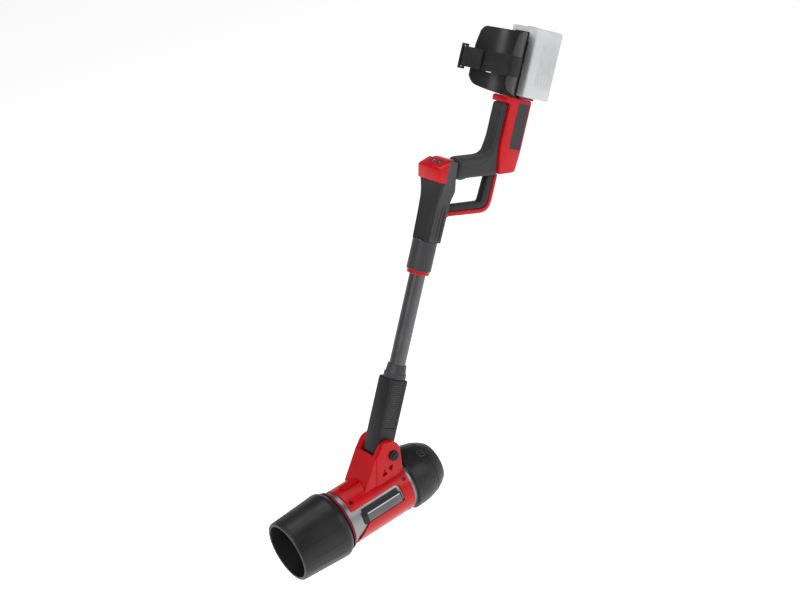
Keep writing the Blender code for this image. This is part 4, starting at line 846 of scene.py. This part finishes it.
# Strap stitching. Two rows of bonded thread hold the folded tail, each stitch a short raised loop.
thread_look = surface("bonded_thread", (0.035, 0.035, 0.037), 0.6, 1500, 0.2)
stitches = bmesh.new()
tail = leg + fold
stitch_lean = Matrix.Rotation(math.atan2(-ALONG.x, ALONG.z), 4, "Y").inverted()
stitch_size = Matrix.Diagonal((0.35 * MM, 0.45 * MM, 1.3 * MM, 1.0))
for row in (42.0, 45.0):
    for k in range(9):
        spot = tail - way * row + fold.normalized() * (WEB_THICK / 2 + 0.05)
        centre = at(spot.x, STRAP_MID - 16.0 + k * 4.0, spot.y)
        bmesh.ops.create_uvsphere(
            stitches, u_segments=8, v_segments=6, radius=1.0,
            matrix=Matrix.Translation(centre) @ stitch_lean @ stitch_size,
        )
made("strap_stitches", stitches, thread_look, "handle", 60)

# Battery mount and seat. A black plate with a T-rail behind the cuff, its contact block, and the dark
# red sill that the battery comes down on.
dress(black_satin, "battery_mount", "terminal_block")
dress(dark_red, "battery_seat")

# Battery. A slide-on pack in a pale frosted case, so that the two rows of cells only shimmer through;
# the sides carry raised gripping ribs, and a red catch is pressed to release it.
frosted = surface("frosted_case", (0.74, 0.75, 0.76), 0.34, 1000, 0.10, 0.05, clear=0.25, ior=1.46, tone=0.05)
cell_look = surface("cell_sleeves", (0.42, 0.44, 0.47), 0.45, 300, 0.1)
dress(frosted, "battery_case")
dress(cell_look, "battery_cells")
dress(red_gloss, "battery_release")
case_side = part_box("battery_case")[1].y / MM
lines = bmesh.new()
for side in (-1, 1):
    for k in range(10):
        back_at = 138.0 + k * 4.4
        root = side * (case_side - 0.4)
        rounded_bar(lines, (back_at, 732.0, root), (back_at, 834.0, root), 2.5, 1.5, side)
made("battery_ribs", lines, frosted, "battery", 40)

# Floor, lights and camera. A wide pale floor well below the held tool, a sky that is pale at the horizon
# and dark overhead, three large soft lamps, and the camera on the tool's left front, above the cuff.
FLOOR_DROP = 0.55
floor_look = surface("pale_floor", (0.90, 0.90, 0.90), 0.85, 30, 0.02, 0.03, tone=0.01)
floor_shader = floor_look.node_tree.nodes["Principled BSDF"]
floor_shader.inputs["Emission Color"].default_value = (1, 1, 1, 1)
floor_shader.inputs["Emission Strength"].default_value = 0.80
bm = bmesh.new()
bmesh.ops.create_grid(bm, x_segments=8, y_segments=8, size=14.0)
floor_mesh = bpy.data.meshes.new("floor")
bm.to_mesh(floor_mesh)
bm.free()
floor = bpy.data.objects.new("floor", floor_mesh)
floor.location = (0, 0, cad_box[0].z - FLOOR_DROP)
floor_mesh.materials.append(floor_look)
bpy.context.scene.collection.objects.link(floor)

sky = bpy.data.worlds.new("studio")
sky.use_nodes = True
tree = sky.node_tree
backdrop = tree.nodes["Background"]
backdrop.inputs["Color"].default_value = (1.0, 1.0, 1.0, 1.0)
sky_place = tree.nodes.new("ShaderNodeTexCoord")
sky_split = tree.nodes.new("ShaderNodeSeparateXYZ")
tree.links.new(sky_place.outputs["Generated"], sky_split.inputs["Vector"])
sky_fall = ranged(tree, sky_split.outputs["Z"], 0.80, 0.08, 0.02, 0.42)
tree.links.new(sky_fall, backdrop.inputs["Strength"])
bpy.context.scene.world = sky
bpy.context.scene.view_settings.view_transform = "Standard"
middle = (cad_box[0] + cad_box[1]) / 2


def softbox(name, place, wide, tall, power):
    lamp = bpy.data.lights.new(name, "AREA")
    lamp.shape = "RECTANGLE"
    lamp.size, lamp.size_y = wide, tall
    lamp.energy = power
    holder = bpy.data.objects.new(name, lamp)
    holder.location = Vector(place)
    holder.rotation_euler = (middle - holder.location).to_track_quat("-Z", "Y").to_euler()
    bpy.context.scene.collection.objects.link(holder)


softbox("key_lamp", (2.4, 1.2, 2.2), 1.6, 1.6, 58)
softbox("fill_lamp", (-1.6, 2.6, 1.2), 1.8, 1.8, 30)
softbox("top_lamp", (0.2, -0.6, 3.0), 2.4, 2.4, 46)

right = Vector((-0.7743, 0.5938, -0.2188))
up = Vector((-0.4365, -0.2509, 0.8640))
ahead = Vector((-0.4582, -0.7645, -0.4534))
lens = bpy.data.cameras.new("view")
lens.sensor_width = 36.0
lens.lens = 70.08
lens.clip_start, lens.clip_end = 0.05, 100.0
viewer = bpy.data.objects.new("view", lens)
turn = Matrix((right, up, -ahead)).transposed().to_4x4()
viewer.matrix_world = Matrix.Translation(OUTLET + Vector((0.9737, 2.2538, 1.6974))) @ turn
bpy.context.scene.collection.objects.link(viewer)
bpy.context.scene.camera = viewer
